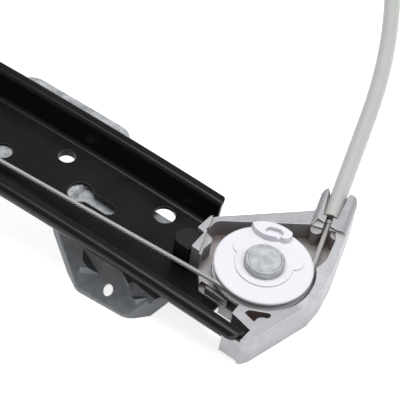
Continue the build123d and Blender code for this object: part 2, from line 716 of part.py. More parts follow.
with BuildPart() as drum_housing:
    with BuildSketch(drum_centre):
        Circle(HOUSING_RADIUS)
    extrude(amount=HOUSING_TOP)
    with BuildSketch(drum_centre):
        for angle in EAR_ANGLES:
            with Locations(Location((0, 0, 0), angle)):
                Rectangle(HOUSING_EAR_RADIUS, 2 * EAR_PAD_RADIUS, align=(Align.MIN, Align.CENTER))
            with PolarLocations(HOUSING_EAR_RADIUS, 1, angle):
                Circle(EAR_PAD_RADIUS)
    extrude(amount=HOUSING_EAR_HEIGHT)
    with BuildSketch(drum_centre):
        for angle in SCREW_ANGLES:
            with PolarLocations(SCREW_CIRCLE, 1, angle):
                Circle(4.2)
    extrude(amount=HOUSING_TOP)
    for side in (1, -1):
        with BuildSketch(port_plane(side, 18)):
            with Locations((0, 0)):
                Rectangle(2 * PORT_HALF_WIDTH, 2 * PORT_HALF_WIDTH)
        extrude(amount=PORT_REACH - 18)
        with BuildSketch(port_plane(side, PORT_REACH - 6)):
            Circle(CONDUIT_RADIUS + CONDUIT_FIT)
        extrude(amount=12, mode=Mode.SUBTRACT)
        with BuildSketch(port_plane(side, 10)):
            Rectangle(2.6, DRUM_UPPER_GROOVE - DRUM_LOWER_GROOVE + 2.6)
        extrude(amount=40, mode=Mode.SUBTRACT)
    with BuildSketch(drum_centre.offset(HOUSING_FLOOR)):
        Circle(HOUSING_RADIUS - HOUSING_WALL)
    extrude(amount=HOUSING_TOP, mode=Mode.SUBTRACT)
    with BuildSketch(drum_centre):
        Circle(DRUM_BORE + 4.5)
        for angle in EAR_ANGLES:
            with PolarLocations(HOUSING_EAR_RADIUS, 1, angle):
                Circle(EAR_HOLE_RADIUS)
    extrude(amount=HOUSING_TOP, mode=Mode.SUBTRACT)
    with BuildSketch(drum_centre.offset(HOUSING_TOP - 10)):
        for angle in SCREW_ANGLES:
            with PolarLocations(SCREW_CIRCLE, 1, angle):
                Circle(1.5)
    extrude(amount=10, mode=Mode.SUBTRACT)
finish(drum_housing, "drum_housing")

with BuildPart() as drum_cover:
    with BuildSketch(drum_centre.offset(HOUSING_TOP)):
        Circle(HOUSING_RADIUS)
        for angle in SCREW_ANGLES:
            with PolarLocations(SCREW_CIRCLE, 1, angle):
                Circle(4.2)
    extrude(amount=COVER_THICKNESS)
    with BuildSketch(drum_centre.offset(HOUSING_TOP)):
        Circle(DRUM_BORE + 3.2)
        for angle in SCREW_ANGLES:
            with PolarLocations(SCREW_CIRCLE, 1, angle):
                Circle(1.8)
    extrude(amount=COVER_THICKNESS, mode=Mode.SUBTRACT)
finish(drum_cover, "drum_cover")

with BuildPart() as cover_screws:
    for angle in SCREW_ANGLES:
        with BuildSketch(drum_centre.offset(HOUSING_TOP + COVER_THICKNESS)):
            with PolarLocations(SCREW_CIRCLE, 1, angle):
                Circle(3.2)
        extrude(amount=2.0, taper=12)
        with BuildSketch(drum_centre.offset(HOUSING_TOP + COVER_THICKNESS)):
            with PolarLocations(SCREW_CIRCLE, 1, angle):
                Circle(1.5)
        extrude(amount=-COVER_THICKNESS - 8)
finish(cover_screws, "cover_screws")

with BuildPart() as cable_drum:
    with BuildSketch(drum_section):
        with BuildLine():
            Polyline(
                (DRUM_BORE, DRUM_BOTTOM),
                (DRUM_RADIUS, DRUM_BOTTOM),
                (DRUM_RADIUS, DRUM_LOWER_GROOVE - 1.6),
                (DRUM_WRAP_RADIUS - 1, DRUM_LOWER_GROOVE - 1),
                (DRUM_WRAP_RADIUS - 1, DRUM_LOWER_GROOVE + 1),
                (DRUM_RADIUS, DRUM_LOWER_GROOVE + 1.6),
                (DRUM_RADIUS, DRUM_UPPER_GROOVE - 1.6),
                (DRUM_WRAP_RADIUS - 1, DRUM_UPPER_GROOVE - 1),
                (DRUM_WRAP_RADIUS - 1, DRUM_UPPER_GROOVE + 1),
                (DRUM_RADIUS, DRUM_UPPER_GROOVE + 1.6),
                (DRUM_RADIUS, DRUM_TOP),
                (DRUM_BORE, DRUM_TOP),
                close=True,
            )
        make_face()
    revolve(axis=Axis((0, DRUM_Y, 0), (0, 0, 1)))
    # Hubs at both faces turn in the housing's floor and in the cover.
    with BuildSketch(drum_centre):
        Circle(DRUM_BORE + 4.5 - 0.06)
        Circle(DRUM_BORE, mode=Mode.SUBTRACT)
    extrude(amount=DRUM_BOTTOM)
    with BuildSketch(drum_centre.offset(DRUM_TOP)):
        Circle(DRUM_BORE + 3.2 - 0.06)
        Circle(DRUM_BORE, mode=Mode.SUBTRACT)
    extrude(amount=HOUSING_TOP + COVER_THICKNESS - DRUM_TOP)
    # Driving splines stand inwards in the bore.
    with BuildSketch(drum_centre):
        with PolarLocations(DRUM_BORE, 12):
            Rectangle(2.2, 1.8)
    extrude(amount=HOUSING_TOP + COVER_THICKNESS)
    # Pockets lighten the drum from above, between its ribs.
    with BuildSketch(drum_centre.offset(7.5)):
        Circle(DRUM_WRAP_RADIUS - 3.5)
        Circle(DRUM_BORE + 6.0, mode=Mode.SUBTRACT)
        with PolarLocations(0, 6):
            Rectangle(DRUM_WRAP_RADIUS, 2.4, align=(Align.MIN, Align.CENTER), mode=Mode.SUBTRACT)
    extrude(amount=20, mode=Mode.SUBTRACT)
finish(cable_drum, "cable_drum")

with BuildPart() as drum_windings:
    for height in (DRUM_LOWER_GROOVE, DRUM_UPPER_GROOVE):
        with BuildSketch(drum_section):
            with Locations((DRUM_WRAP_RADIUS, height)):
                Circle(CABLE_RADIUS)
        revolve(axis=Axis((0, DRUM_Y, 0), (0, 0, 1)))
finish(drum_windings, "drum_windings")


# ----------------------------------------------------------------- carriage
carriage_angle = degrees(CARRIAGE_INSET / RAIL_RADIUS)
carriage_half = degrees(CARRIAGE_HALF_LENGTH / RAIL_RADIUS)
carriage_seat = seat_plane(carriage_angle)
GLIDE_TOP = 16.0
GLIDE_OUTER = 32.6
GLIDE_HOOK_INNER = 26.4
GLIDE_BOTTOM = 6.6


glide_outline = [
    (24.6, GLIDE_TOP),
    (GLIDE_OUTER, GLIDE_TOP),
    (GLIDE_OUTER, GLIDE_BOTTOM),
    (GLIDE_HOOK_INNER, GLIDE_BOTTOM),
    (GLIDE_HOOK_INNER, LIP_BOTTOM - GLIDE_CLEARANCE),
    (FLANGE_HALF_WIDTH + GLIDE_CLEARANCE, LIP_BOTTOM - GLIDE_CLEARANCE),
    (FLANGE_HALF_WIDTH + GLIDE_CLEARANCE, WALL_HEIGHT + GLIDE_CLEARANCE),
    (24.6, WALL_HEIGHT + GLIDE_CLEARANCE),
]
glide_angle = degrees(GLIDE_LENGTH / RAIL_RADIUS)
RIVET_INSET = 28.0
CARRIAGE_RIVETS = ((-RIVET_INSET, -28.6), (-RIVET_INSET, 28.6), (RIVET_INSET, -28.6), (RIVET_INSET, 28.6))
CARRIAGE_RIVET_RADIUS = 1.6

with BuildPart() as far_glides:
    for start in (-carriage_half, carriage_half - glide_angle):
        with BuildSketch(section_plane(carriage_angle + start)):
            with BuildLine():
                Polyline(*glide_outline, close=True)
            make_face()
        revolve(axis=rail_axis, revolution_arc=glide_angle)
    # A spring bar joins the two shoes outside the flange.
    with BuildSketch(carriage_seat.offset(8)):
        with Locations((0, 31.3)):
            Rectangle(2 * CARRIAGE_HALF_LENGTH - 30, 2.0)
    extrude(amount=6)
    with BuildSketch(carriage_seat.offset(WALL_HEIGHT)):
        with Locations(*CARRIAGE_RIVETS):
            Circle(CARRIAGE_RIVET_RADIUS)
    extrude(amount=6, mode=Mode.SUBTRACT)
with BuildPart() as near_glides:
    add(far_glides.part)
    mirror(about=Plane.XZ.offset(-RAIL_Y), mode=Mode.REPLACE)
finish(far_glides, "far_glides")
finish(near_glides, "near_glides")

PLATE_TOP = GLIDE_TOP + PLATE_THICKNESS
plate_outline = [
    (-CARRIAGE_HALF_LENGTH, -32.6, 6),
    (CARRIAGE_HALF_LENGTH, -32.6, 6),
    (CARRIAGE_HALF_LENGTH, 32.6, 6),
    (-CARRIAGE_HALF_LENGTH, 32.6, 6),
]
ANCHOR_RIVETS = ((-20, -17.0), (20, -17.0), (-20, 2.0), (20, 2.0))
CLAMP_RIVETS = ((-24, -14), (-24, 14), (24, -14), (24, 14))
CLAMP_BOLT_PLACE = (-4, 9)
CLAMP_BOLT_RADIUS = 3.0
CABLE_V = PULLEY_OFFSET - WRAP_RADIUS
with BuildPart() as carriage_plate:
    with BuildSketch(carriage_seat.offset(GLIDE_TOP + 0.3)):
        with BuildLine():
            FilletPolyline(*points(plate_outline), radius=radii(plate_outline), close=True)
        make_face()
        with Locations(*CARRIAGE_RIVETS, *ANCHOR_RIVETS, *CLAMP_RIVETS):
            Circle(CARRIAGE_RIVET_RADIUS, mode=Mode.SUBTRACT)
        with Locations(CLAMP_BOLT_PLACE):
            Circle(6.5, mode=Mode.SUBTRACT)
    extrude(amount=PLATE_THICKNESS)
    # Two stiffening swages are pressed up along the plate.
    with BuildSketch(carriage_seat.offset(GLIDE_TOP + 0.3)):
        with Locations((0, -22.5), (0, 22.5)):
            SlotOverall(62, 5)
    extrude(amount=PLATE_THICKNESS + 1.2, taper=25)
    with BuildSketch(carriage_seat.offset(GLIDE_TOP + 0.3)):
        with Locations((0, -22.5), (0, 22.5)):
            SlotOverall(59, 2.4)
    extrude(amount=1.4, mode=Mode.SUBTRACT)
finish(carriage_plate, "carriage_plate")

CHANNEL_TOP = 9.6
with BuildPart() as cable_anchor:
    with BuildSketch(carriage_seat.offset(GLIDE_TOP + 0.3)):
        with Locations((0, (CABLE_V + 0.8))):
            RectangleRounded(60, 18.6, 3)
    extrude(amount=-4.2)
    with BuildSketch(carriage_seat.offset(GLIDE_TOP + 0.3)):
        with Locations((0, CABLE_V - 4.6), (0, CABLE_V + 4.6)):
            Rectangle(56, 3.0)
    extrude(amount=-13.0, taper=1)
    with BuildSketch(carriage_seat.offset(GLIDE_TOP + 0.3)):
        with Locations(*[(u, CABLE_V) for u in (-27, 0, 27)]):
            Rectangle(2.4, 12)
    extrude(amount=-13.0)
    with BuildSketch(carriage_seat):
        with Locations((0, CABLE_V)):
            Rectangle(70, 3.4)
    extrude(amount=CHANNEL_TOP, mode=Mode.SUBTRACT)
    with BuildSketch(carriage_seat.offset(GLIDE_TOP - 6)):
        with Locations(*ANCHOR_RIVETS):
            Circle(CARRIAGE_RIVET_RADIUS)
    extrude(amount=8, mode=Mode.SUBTRACT)
finish(cable_anchor, "cable_anchor")

with BuildPart() as cable_end_blocks:
    with BuildSketch(carriage_seat.offset(3.4)):
        with Locations((-13, CABLE_V), (13, CABLE_V)):
            RectangleRounded(9, 6.0, 1)
    extrude(amount=GLIDE_TOP + 0.3 - 4.2 - 3.4)
    with BuildSketch(carriage_seat):
        with Locations((0, CABLE_V)):
            Rectangle(70, 3.0)
    extrude(amount=CHANNEL_TOP, mode=Mode.SUBTRACT)
finish(cable_end_blocks, "cable_end_blocks")

BASE_THICKNESS = 3.0
PAD_THICKNESS = 1.5
CLAMP_FLOOR = GLIDE_TOP + 0.3 + PLATE_THICKNESS
BASE_TOP = CLAMP_FLOOR + 1.2 + BASE_THICKNESS
JAW_BOTTOM = BASE_TOP + 2 * PAD_THICKNESS + GLASS_GAP
JAW_THICKNESS = 3.0
CLAMP_HALF_WIDTH = 19.0
CLAMP_MOUTH = -34.0
CLAMP_BACK = 30.0
with BuildPart() as glass_clamp_base:
    with BuildSketch(carriage_seat.offset(CLAMP_FLOOR)):
        with Locations(((CLAMP_MOUTH + CLAMP_BACK) / 2, 0)):
            RectangleRounded(CLAMP_BACK - CLAMP_MOUTH, 2 * CLAMP_HALF_WIDTH, 4)
    extrude(amount=BASE_TOP - CLAMP_FLOOR)
    # A step at the closed end sets the jaw's height.
    with BuildSketch(carriage_seat.offset(BASE_TOP)):
        with Locations((CLAMP_BACK - 5, 0)):
            RectangleRounded(8, 2 * CLAMP_HALF_WIDTH - 6, 2)
    extrude(amount=JAW_BOTTOM - BASE_TOP)
    with BuildSketch(carriage_seat.offset(CLAMP_FLOOR)):
        with Locations(CLAMP_BOLT_PLACE):
            Circle(CLAMP_BOLT_RADIUS)
        with Locations(*CLAMP_RIVETS):
            Circle(3.4)
    extrude(amount=10, mode=Mode.SUBTRACT)
    with BuildSketch(carriage_seat.offset(CLAMP_FLOOR)):
        with Locations(*ANCHOR_RIVETS):
            Circle(3.4)
    extrude(amount=1.4, mode=Mode.SUBTRACT)
    with BuildSketch(carriage_seat.offset(CLAMP_FLOOR)):
        with Locations((0, -22.5), (0, 22.5)):
            Rectangle(70, 7)
    extrude(amount=1.6, mode=Mode.SUBTRACT)
finish(glass_clamp_base, "glass_clamp_base")

with BuildPart() as glass_clamp_jaw:
    with BuildSketch(carriage_seat.offset(JAW_BOTTOM)):
        with Locations(((CLAMP_MOUTH + CLAMP_BACK) / 2, 0)):
            RectangleRounded(CLAMP_BACK - CLAMP_MOUTH, 2 * CLAMP_HALF_WIDTH, 4)
        with Locations(CLAMP_BOLT_PLACE):
            Circle(CLAMP_BOLT_RADIUS, mode=Mode.SUBTRACT)
    extrude(amount=JAW_THICKNESS)
    with BuildSketch(carriage_seat.offset(JAW_BOTTOM + JAW_THICKNESS)):
        with Locations((-2, -14), (-2, -5)):
            SlotOverall(48, 4)
    extrude(amount=1.6, taper=12)
finish(glass_clamp_jaw, "glass_clamp_jaw")

with BuildPart() as glass_clamp_pads:
    for height in (BASE_TOP, JAW_BOTTOM - PAD_THICKNESS):
        with BuildSketch(carriage_seat.offset(height)):
            with Locations((-8, 0)):
                RectangleRounded(48, 2 * CLAMP_HALF_WIDTH - 4, 3)
            with Locations(CLAMP_BOLT_PLACE):
                Circle(5.0, mode=Mode.SUBTRACT)
        extrude(amount=PAD_THICKNESS)
finish(glass_clamp_pads, "glass_clamp_pads")

HEX_ACROSS = 10.0
with BuildPart() as glass_clamp_bolt:
    with BuildSketch(carriage_seat.offset(CLAMP_FLOOR)):
        with Locations(CLAMP_BOLT_PLACE):
            Circle(CLAMP_BOLT_RADIUS)
    extrude(amount=JAW_BOTTOM + JAW_THICKNESS - CLAMP_FLOOR)
    with BuildSketch(carriage_seat.offset(JAW_BOTTOM + JAW_THICKNESS)):
        with Locations(CLAMP_BOLT_PLACE):
            Circle(6.6)
    extrude(amount=1.2)
    with BuildSketch(carriage_seat.offset(JAW_BOTTOM + JAW_THICKNESS + 1.2)):
        with Locations(CLAMP_BOLT_PLACE):
            RegularPolygon(HEX_ACROSS / 2, 6, major_radius=False)
    extrude(amount=4.4)
    # The nut is held under the clamp's base in the plate's round opening.
    with BuildSketch(carriage_seat.offset(CLAMP_FLOOR)):
        with Locations(CLAMP_BOLT_PLACE):
            RegularPolygon(HEX_ACROSS / 2, 6, major_radius=False)
    extrude(amount=-3.2)
finish(glass_clamp_bolt, "glass_clamp_bolt")

with BuildPart() as carriage_rivets:
    for places, low in ((CARRIAGE_RIVETS, WALL_HEIGHT + 0.9), (ANCHOR_RIVETS, GLIDE_TOP - 3.9)):
        with BuildSketch(carriage_seat.offset(low)):
            with Locations(*places):
                Circle(CARRIAGE_RIVET_RADIUS)
        extrude(amount=CLAMP_FLOOR - low)
        with BuildSketch(carriage_seat.offset(CLAMP_FLOOR)):
            with Locations(*places):
                Circle(3.0)
        extrude(amount=1.1, taper=25)
    with BuildSketch(carriage_seat.offset(GLIDE_TOP + 0.3)):
        with Locations(*CLAMP_RIVETS):
            Circle(CARRIAGE_RIVET_RADIUS)
    extrude(amount=BASE_TOP - GLIDE_TOP - 0.3)
    with BuildSketch(carriage_seat.offset(CLAMP_FLOOR)):
        with Locations(*CLAMP_RIVETS):
            Circle(3.4)
    extrude(amount=BASE_TOP - CLAMP_FLOOR)
finish(carriage_rivets, "carriage_rivets")


# -------------------------------------------------------- mounting brackets
PAD_START = 147.0
PAD_STEP = 87.5
PAD_DROP = 2.2
WING_EDGE = 43.0
PAD_FAR_EDGE = 15.5
PAD_NEAR_EDGE = -14.0
LEG_FOLD = -18.0
LEG_INSET = 55.5
leg_seat = seat_plane(inset_angle(LEG_INSET))
wing_outline = [
    (-31, PAD_NEAR_EDGE, 4),
    (28.5, PAD_NEAR_EDGE, 1),
    (28.5, WING_EDGE, 8),
    (-28.5, WING_EDGE, 8),
    (-31, 24, 4),
]
wing_seat = seat_plane(inset_angle(116))
with BuildPart() as mounting_wing:
    with BuildSketch(section_plane(inset_angle(PAD_START))):
        with Locations((0, -SHEET - STAMPING / 2)):
            Rectangle(120, STAMPING)
    revolve(axis=rail_axis, revolution_arc=degrees((PAD_START - PAD_STEP) / RAIL_RADIUS))
    with BuildSketch(wing_seat):
        with BuildLine():
            FilletPolyline(*points(wing_outline), radius=radii(wing_outline), close=True)
        make_face()
    extrude(amount=30, both=True, mode=Mode.INTERSECT)
    with BuildSketch(seat_plane(inset_angle(COLLARED_HOLE[0]))):
        with Locations((0, COLLARED_HOLE[1])):
            Circle(7.0)
    extrude(amount=10, both=True, mode=Mode.SUBTRACT)
    # The joggle climbs from the lower pad to the welded one.
    joggle_plane = Plane(
        origin=leg_seat.from_local_coords((0, PAD_FAR_EDGE, 0)),
        x_dir=leg_seat.x_dir,
        z_dir=(0, -1, 0),
    )
    with BuildSketch(joggle_plane):
        with BuildLine():
            Polyline(
                (-36, -SHEET - PAD_DROP - STAMPING),
                (-30.5, -SHEET - PAD_DROP - STAMPING),
                (-30.5, -SHEET - PAD_DROP),
                (-32.2, -SHEET - 0.5),
                (-36, -SHEET - 0.5),
                close=True,
            )
        make_face()
    extrude(amount=PAD_FAR_EDGE - PAD_NEAR_EDGE)

# The leg is a pressed dish that slopes to the surface, with its rim turned back.
LEG_SLOPE = 41.5
LEG_RIM_DEPTH = 6.0
LEG_RIM_RADIUS = 1.6
LEG_RIM_SLOPE = 32.0
LEG_TOP = 13.6
LEG_HOLE_RADIUS = 2.6
leg_outline = [
    (-33.0, 9.0, 1),
    (-29.5, 1.5, 6),
    (-15.5, -10.5, 6),
    (-8.0, -17.2, 5),
    (18.0, -18.4, 5),
    (26.0, -4.0, 5),
    (28.5, 9.0, 1),
]
leg_gussets = [
    ((-13.5, -1.0), (-10.5, -12.0), (-0.5, -8.0)),
    ((4.0, -1.0), (15.0, -9.2), (14.5, -3.0)),
    ((15.2, -10.0), (20.0, -13.0), (24.2, -6.3)),
]
leg_place = leg_seat.origin
leg_plane = Plane(
    origin=(leg_place.X, RAIL_Y + LEG_FOLD, LEG_TOP),
    x_dir=(1, 0, 0),
    z_dir=(0, -sin(radians(LEG_SLOPE)), cos(radians(LEG_SLOPE))),
)
lower_pad_top = leg_seat.offset(-SHEET - PAD_DROP)
with BuildPart() as leg:
    with BuildSketch(leg_plane):
        with BuildLine():
            FilletPolyline(*points(leg_outline), radius=radii(leg_outline), close=True)
        make_face()
    extrude(amount=-LEG_RIM_DEPTH, taper=-LEG_RIM_SLOPE)
    front = leg.faces().sort_by(Axis(leg_plane.origin, leg_plane.z_dir))[-1]
    fillet(front.edges(), radius=LEG_RIM_RADIUS)
    with BuildSketch(leg_plane.offset(-STAMPING)):
        with BuildLine():
            FilletPolyline(*points(leg_outline), radius=radii(leg_outline), close=True)
        make_face()
        offset(amount=-0.6, mode=Mode.REPLACE)
    extrude(amount=-LEG_RIM_DEPTH, taper=-LEG_RIM_SLOPE, mode=Mode.SUBTRACT)
    # Gussets stand out of the dish on both sides of the bolt hole.
    with BuildSketch(leg_plane.offset(-0.5)):
        for gusset in leg_gussets:
            with BuildLine():
                Polyline(*gusset, close=True)
            make_face()
    extrude(amount=3.2, taper=36)
    with BuildSketch(leg_plane):
        with Locations((5.1, -12.1)):
            Circle(LEG_HOLE_RADIUS)
    extrude(amount=5, both=True, mode=Mode.SUBTRACT)
    with BuildSketch(lower_pad_top):
        Rectangle(120, 120)
    extrude(amount=30, mode=Mode.SUBTRACT)
    with BuildSketch(Plane.XY):
        with Locations((leg_place.X, RAIL_Y)):
            Rectangle(120, 120)
    extrude(amount=-20, mode=Mode.SUBTRACT)
# The lower pad lies a step below the web and runs out to the leg's face.
with BuildPart() as lower_pad:
    with BuildSketch(lower_pad_top):
        with BuildLine():
            FilletPolyline(
                (-36.0, LEG_FOLD + 3),
                (-26.0, LEG_FOLD - 8),
                (26.0, LEG_FOLD - 8),
                (30.0, LEG_FOLD + 3),
                (30.0, PAD_FAR_EDGE),
                (-36.0, PAD_FAR_EDGE),
                radius=[0, 0, 0, 4, 4, 0],
                close=True,
            )
        make_face()
    extrude(amount=-STAMPING)
    with BuildSketch(leg_plane):
        Rectangle(200, 200)
    extrude(amount=60, mode=Mode.SUBTRACT)
with BuildPart() as lower_mounting_bracket:
    add(mounting_wing.part)
    add(lower_pad.part)
    add(leg.part)
with BuildPart() as upper_mounting_bracket:
    add(lower_mounting_bracket.part)
    mirror(about=Plane.YZ, mode=Mode.REPLACE)
finish(lower_mounting_bracket, "lower_mounting_bracket")
finish(upper_mounting_bracket, "upper_mounting_bracket")


# ------------------------------------------------ conduit ends at the drum
FERRULE_LENGTH = 14.0
FERRULE_WALL = 0.8
with BuildPart() as lower_conduit_cap:
    with BuildSketch(port_plane(1, PORT_REACH + 0.05)):
        Circle(CONDUIT_RADIUS + FERRULE_WALL + 1)
        Circle(CONDUIT_RADIUS + CONDUIT_FIT, mode=Mode.SUBTRACT)
    extrude(amount=3.0)
    with BuildSketch(port_plane(1, PORT_REACH + 3.05)):
        Circle(CONDUIT_RADIUS + FERRULE_WALL)
        Circle(CONDUIT_RADIUS + CONDUIT_FIT, mode=Mode.SUBTRACT)
    extrude(amount=FERRULE_LENGTH - 9)
with BuildPart() as upper_conduit_cap:
    add(lower_conduit_cap.part)
    mirror(about=Plane.YZ, mode=Mode.REPLACE)
finish(lower_conduit_cap, "lower_conduit_cap")
finish(upper_conduit_cap, "upper_conduit_cap")

# The cable's ends run from the conduits to the drum, one at each groove.
with BuildPart() as drum_leads:
    for side, height in ((1, DRUM_LOWER_GROOVE), (-1, DRUM_UPPER_GROOVE)):
        with BuildLine() as lead_line:
            start = by_port(9.8, height)
            end = by_port(PORT_REACH - 6.1, DRUM_PORT_HEIGHT)
            Line((side * start.X, start.Y, start.Z), (side * end.X, end.Y, end.Z))
        with BuildSketch(Plane(origin=lead_line.line @ 0, z_dir=lead_line.line % 0)):
            Circle(CABLE_RADIUS)
        sweep()
finish(drum_leads, "drum_leads")
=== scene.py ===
import logging
import math
from dataclasses import dataclass, field
from enum import Enum
from typing import Any, Iterable, Sequence

import bpy
from mathutils import Matrix, Vector


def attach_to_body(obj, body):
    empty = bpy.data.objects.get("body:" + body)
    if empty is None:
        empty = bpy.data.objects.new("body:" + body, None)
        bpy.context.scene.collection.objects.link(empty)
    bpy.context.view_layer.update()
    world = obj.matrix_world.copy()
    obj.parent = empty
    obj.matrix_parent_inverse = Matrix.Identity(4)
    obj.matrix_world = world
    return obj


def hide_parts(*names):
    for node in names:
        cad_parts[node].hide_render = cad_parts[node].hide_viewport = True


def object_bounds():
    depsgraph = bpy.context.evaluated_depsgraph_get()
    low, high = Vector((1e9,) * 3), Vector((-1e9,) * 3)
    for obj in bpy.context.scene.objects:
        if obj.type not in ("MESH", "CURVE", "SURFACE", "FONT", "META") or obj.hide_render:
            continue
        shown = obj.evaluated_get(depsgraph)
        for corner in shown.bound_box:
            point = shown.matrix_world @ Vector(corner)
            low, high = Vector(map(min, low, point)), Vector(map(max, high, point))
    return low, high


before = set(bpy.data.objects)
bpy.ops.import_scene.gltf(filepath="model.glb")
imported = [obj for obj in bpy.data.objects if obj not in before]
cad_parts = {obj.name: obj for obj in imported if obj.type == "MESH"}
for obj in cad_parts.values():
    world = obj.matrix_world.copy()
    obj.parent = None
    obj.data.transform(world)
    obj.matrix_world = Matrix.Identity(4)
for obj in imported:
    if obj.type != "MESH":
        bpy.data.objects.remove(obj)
CAD_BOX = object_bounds()

LOG = logging.getLogger("window_regulator")
MM = 0.001
FRAME_BODY = "frame"

Colour = tuple[float, float, float]
Place = tuple[float, float, float]
Material = bpy.types.Material
Piece = bpy.types.Object

ORIGIN: Place = (0.0, 0.0, 0.0)
ALONG_X: Place = (1.0, 0.0, 0.0)
ALONG_Z: Place = (0.0, 0.0, 1.0)
WHITE: Colour = (1.0, 1.0, 1.0)
NOISE_MEAN = 0.5
BEVEL_SAMPLES = 6
HOLLOW_SAMPLES = 8
MIX_LOW = 6
MIX_HIGH = 7
MIX_COLOUR = 2
WELD_MM = 0.02
SEED_MM = 1.0
SEED_SIDES = 3
ENDS = (1, -1)


class End(Enum):
    """The two ends of the rail."""

    LOWER = "lower"
    UPPER = "upper"


class Press(Enum):
    """What a press tool does to the rail."""

    TRIM = "INTERSECT"
    PUNCH = "DIFFERENCE"


class Slot(Enum):
    """Names of material slots, listed with each fitting."""

    BLACK_PAINT = "black_paint"
    ZINC_STEEL = "zinc_steel"
    CABLE_STEEL = "cable_steel"
    BLACK_PLASTIC = "black_plastic"
    STEEL = "steel"


@dataclass(frozen=True)
class Grain:
    """Even noise: its lumps in a metre, its finer layers, and how strong they are."""

    per_metre: float
    layers: float = 3.0
    finer: float = 0.55


@dataclass(frozen=True)
class Relief:
    """Bumps: their depth, how much of them shows, and how round sharp edges look."""

    depth_mm: float
    strength: float
    edge_mm: float


class Socket:
    """A shader socket that does maths when it is added, multiplied and so on."""

    def __init__(self, graph: "Graph", output: bpy.types.NodeSocket | None) -> None:
        """Wrap one output socket.

        Args:
            graph: The graph that the socket's node is in.
            output: The socket itself, or None for a node that has none.
        """
        self.graph = graph
        self.output = output

    def _math(self, operation: str, *values: Any) -> "Socket":
        """Add one Math node over the given values."""
        return self.graph.node("ShaderNodeMath", {"operation": operation}, values)

    def __add__(self, other: Any) -> "Socket":
        """Sum of two values."""
        return self._math("ADD", self, other)

    def __radd__(self, other: Any) -> "Socket":
        """Sum, from the right."""
        return self._math("ADD", other, self)

    def __sub__(self, other: Any) -> "Socket":
        """Difference of two values."""
        return self._math("SUBTRACT", self, other)

    def __rsub__(self, other: Any) -> "Socket":
        """Difference, from the right."""
        return self._math("SUBTRACT", other, self)

    def __mul__(self, other: Any) -> "Socket":
        """Product of two values."""
        return self._math("MULTIPLY", self, other)

    def __rmul__(self, other: Any) -> "Socket":
        """Product, from the right."""
        return self._math("MULTIPLY", other, self)

    def __truediv__(self, other: Any) -> "Socket":
        """Quotient of two values."""
        return self._math("DIVIDE", self, other)

    def __rtruediv__(self, other: Any) -> "Socket":
        """Quotient, from the right."""
        return self._math("DIVIDE", other, self)

    def clamped(self) -> "Socket":
        """The value held between nought and one."""
        return self.graph.node("ShaderNodeClamp", {}, [self, 0.0, 1.0])

    def about(self, middle: float, spread: float) -> "Socket":
        """A noise stretched about a middle, and held between nought and one."""
        return (middle + (self - NOISE_MEAN) * spread).clamped()


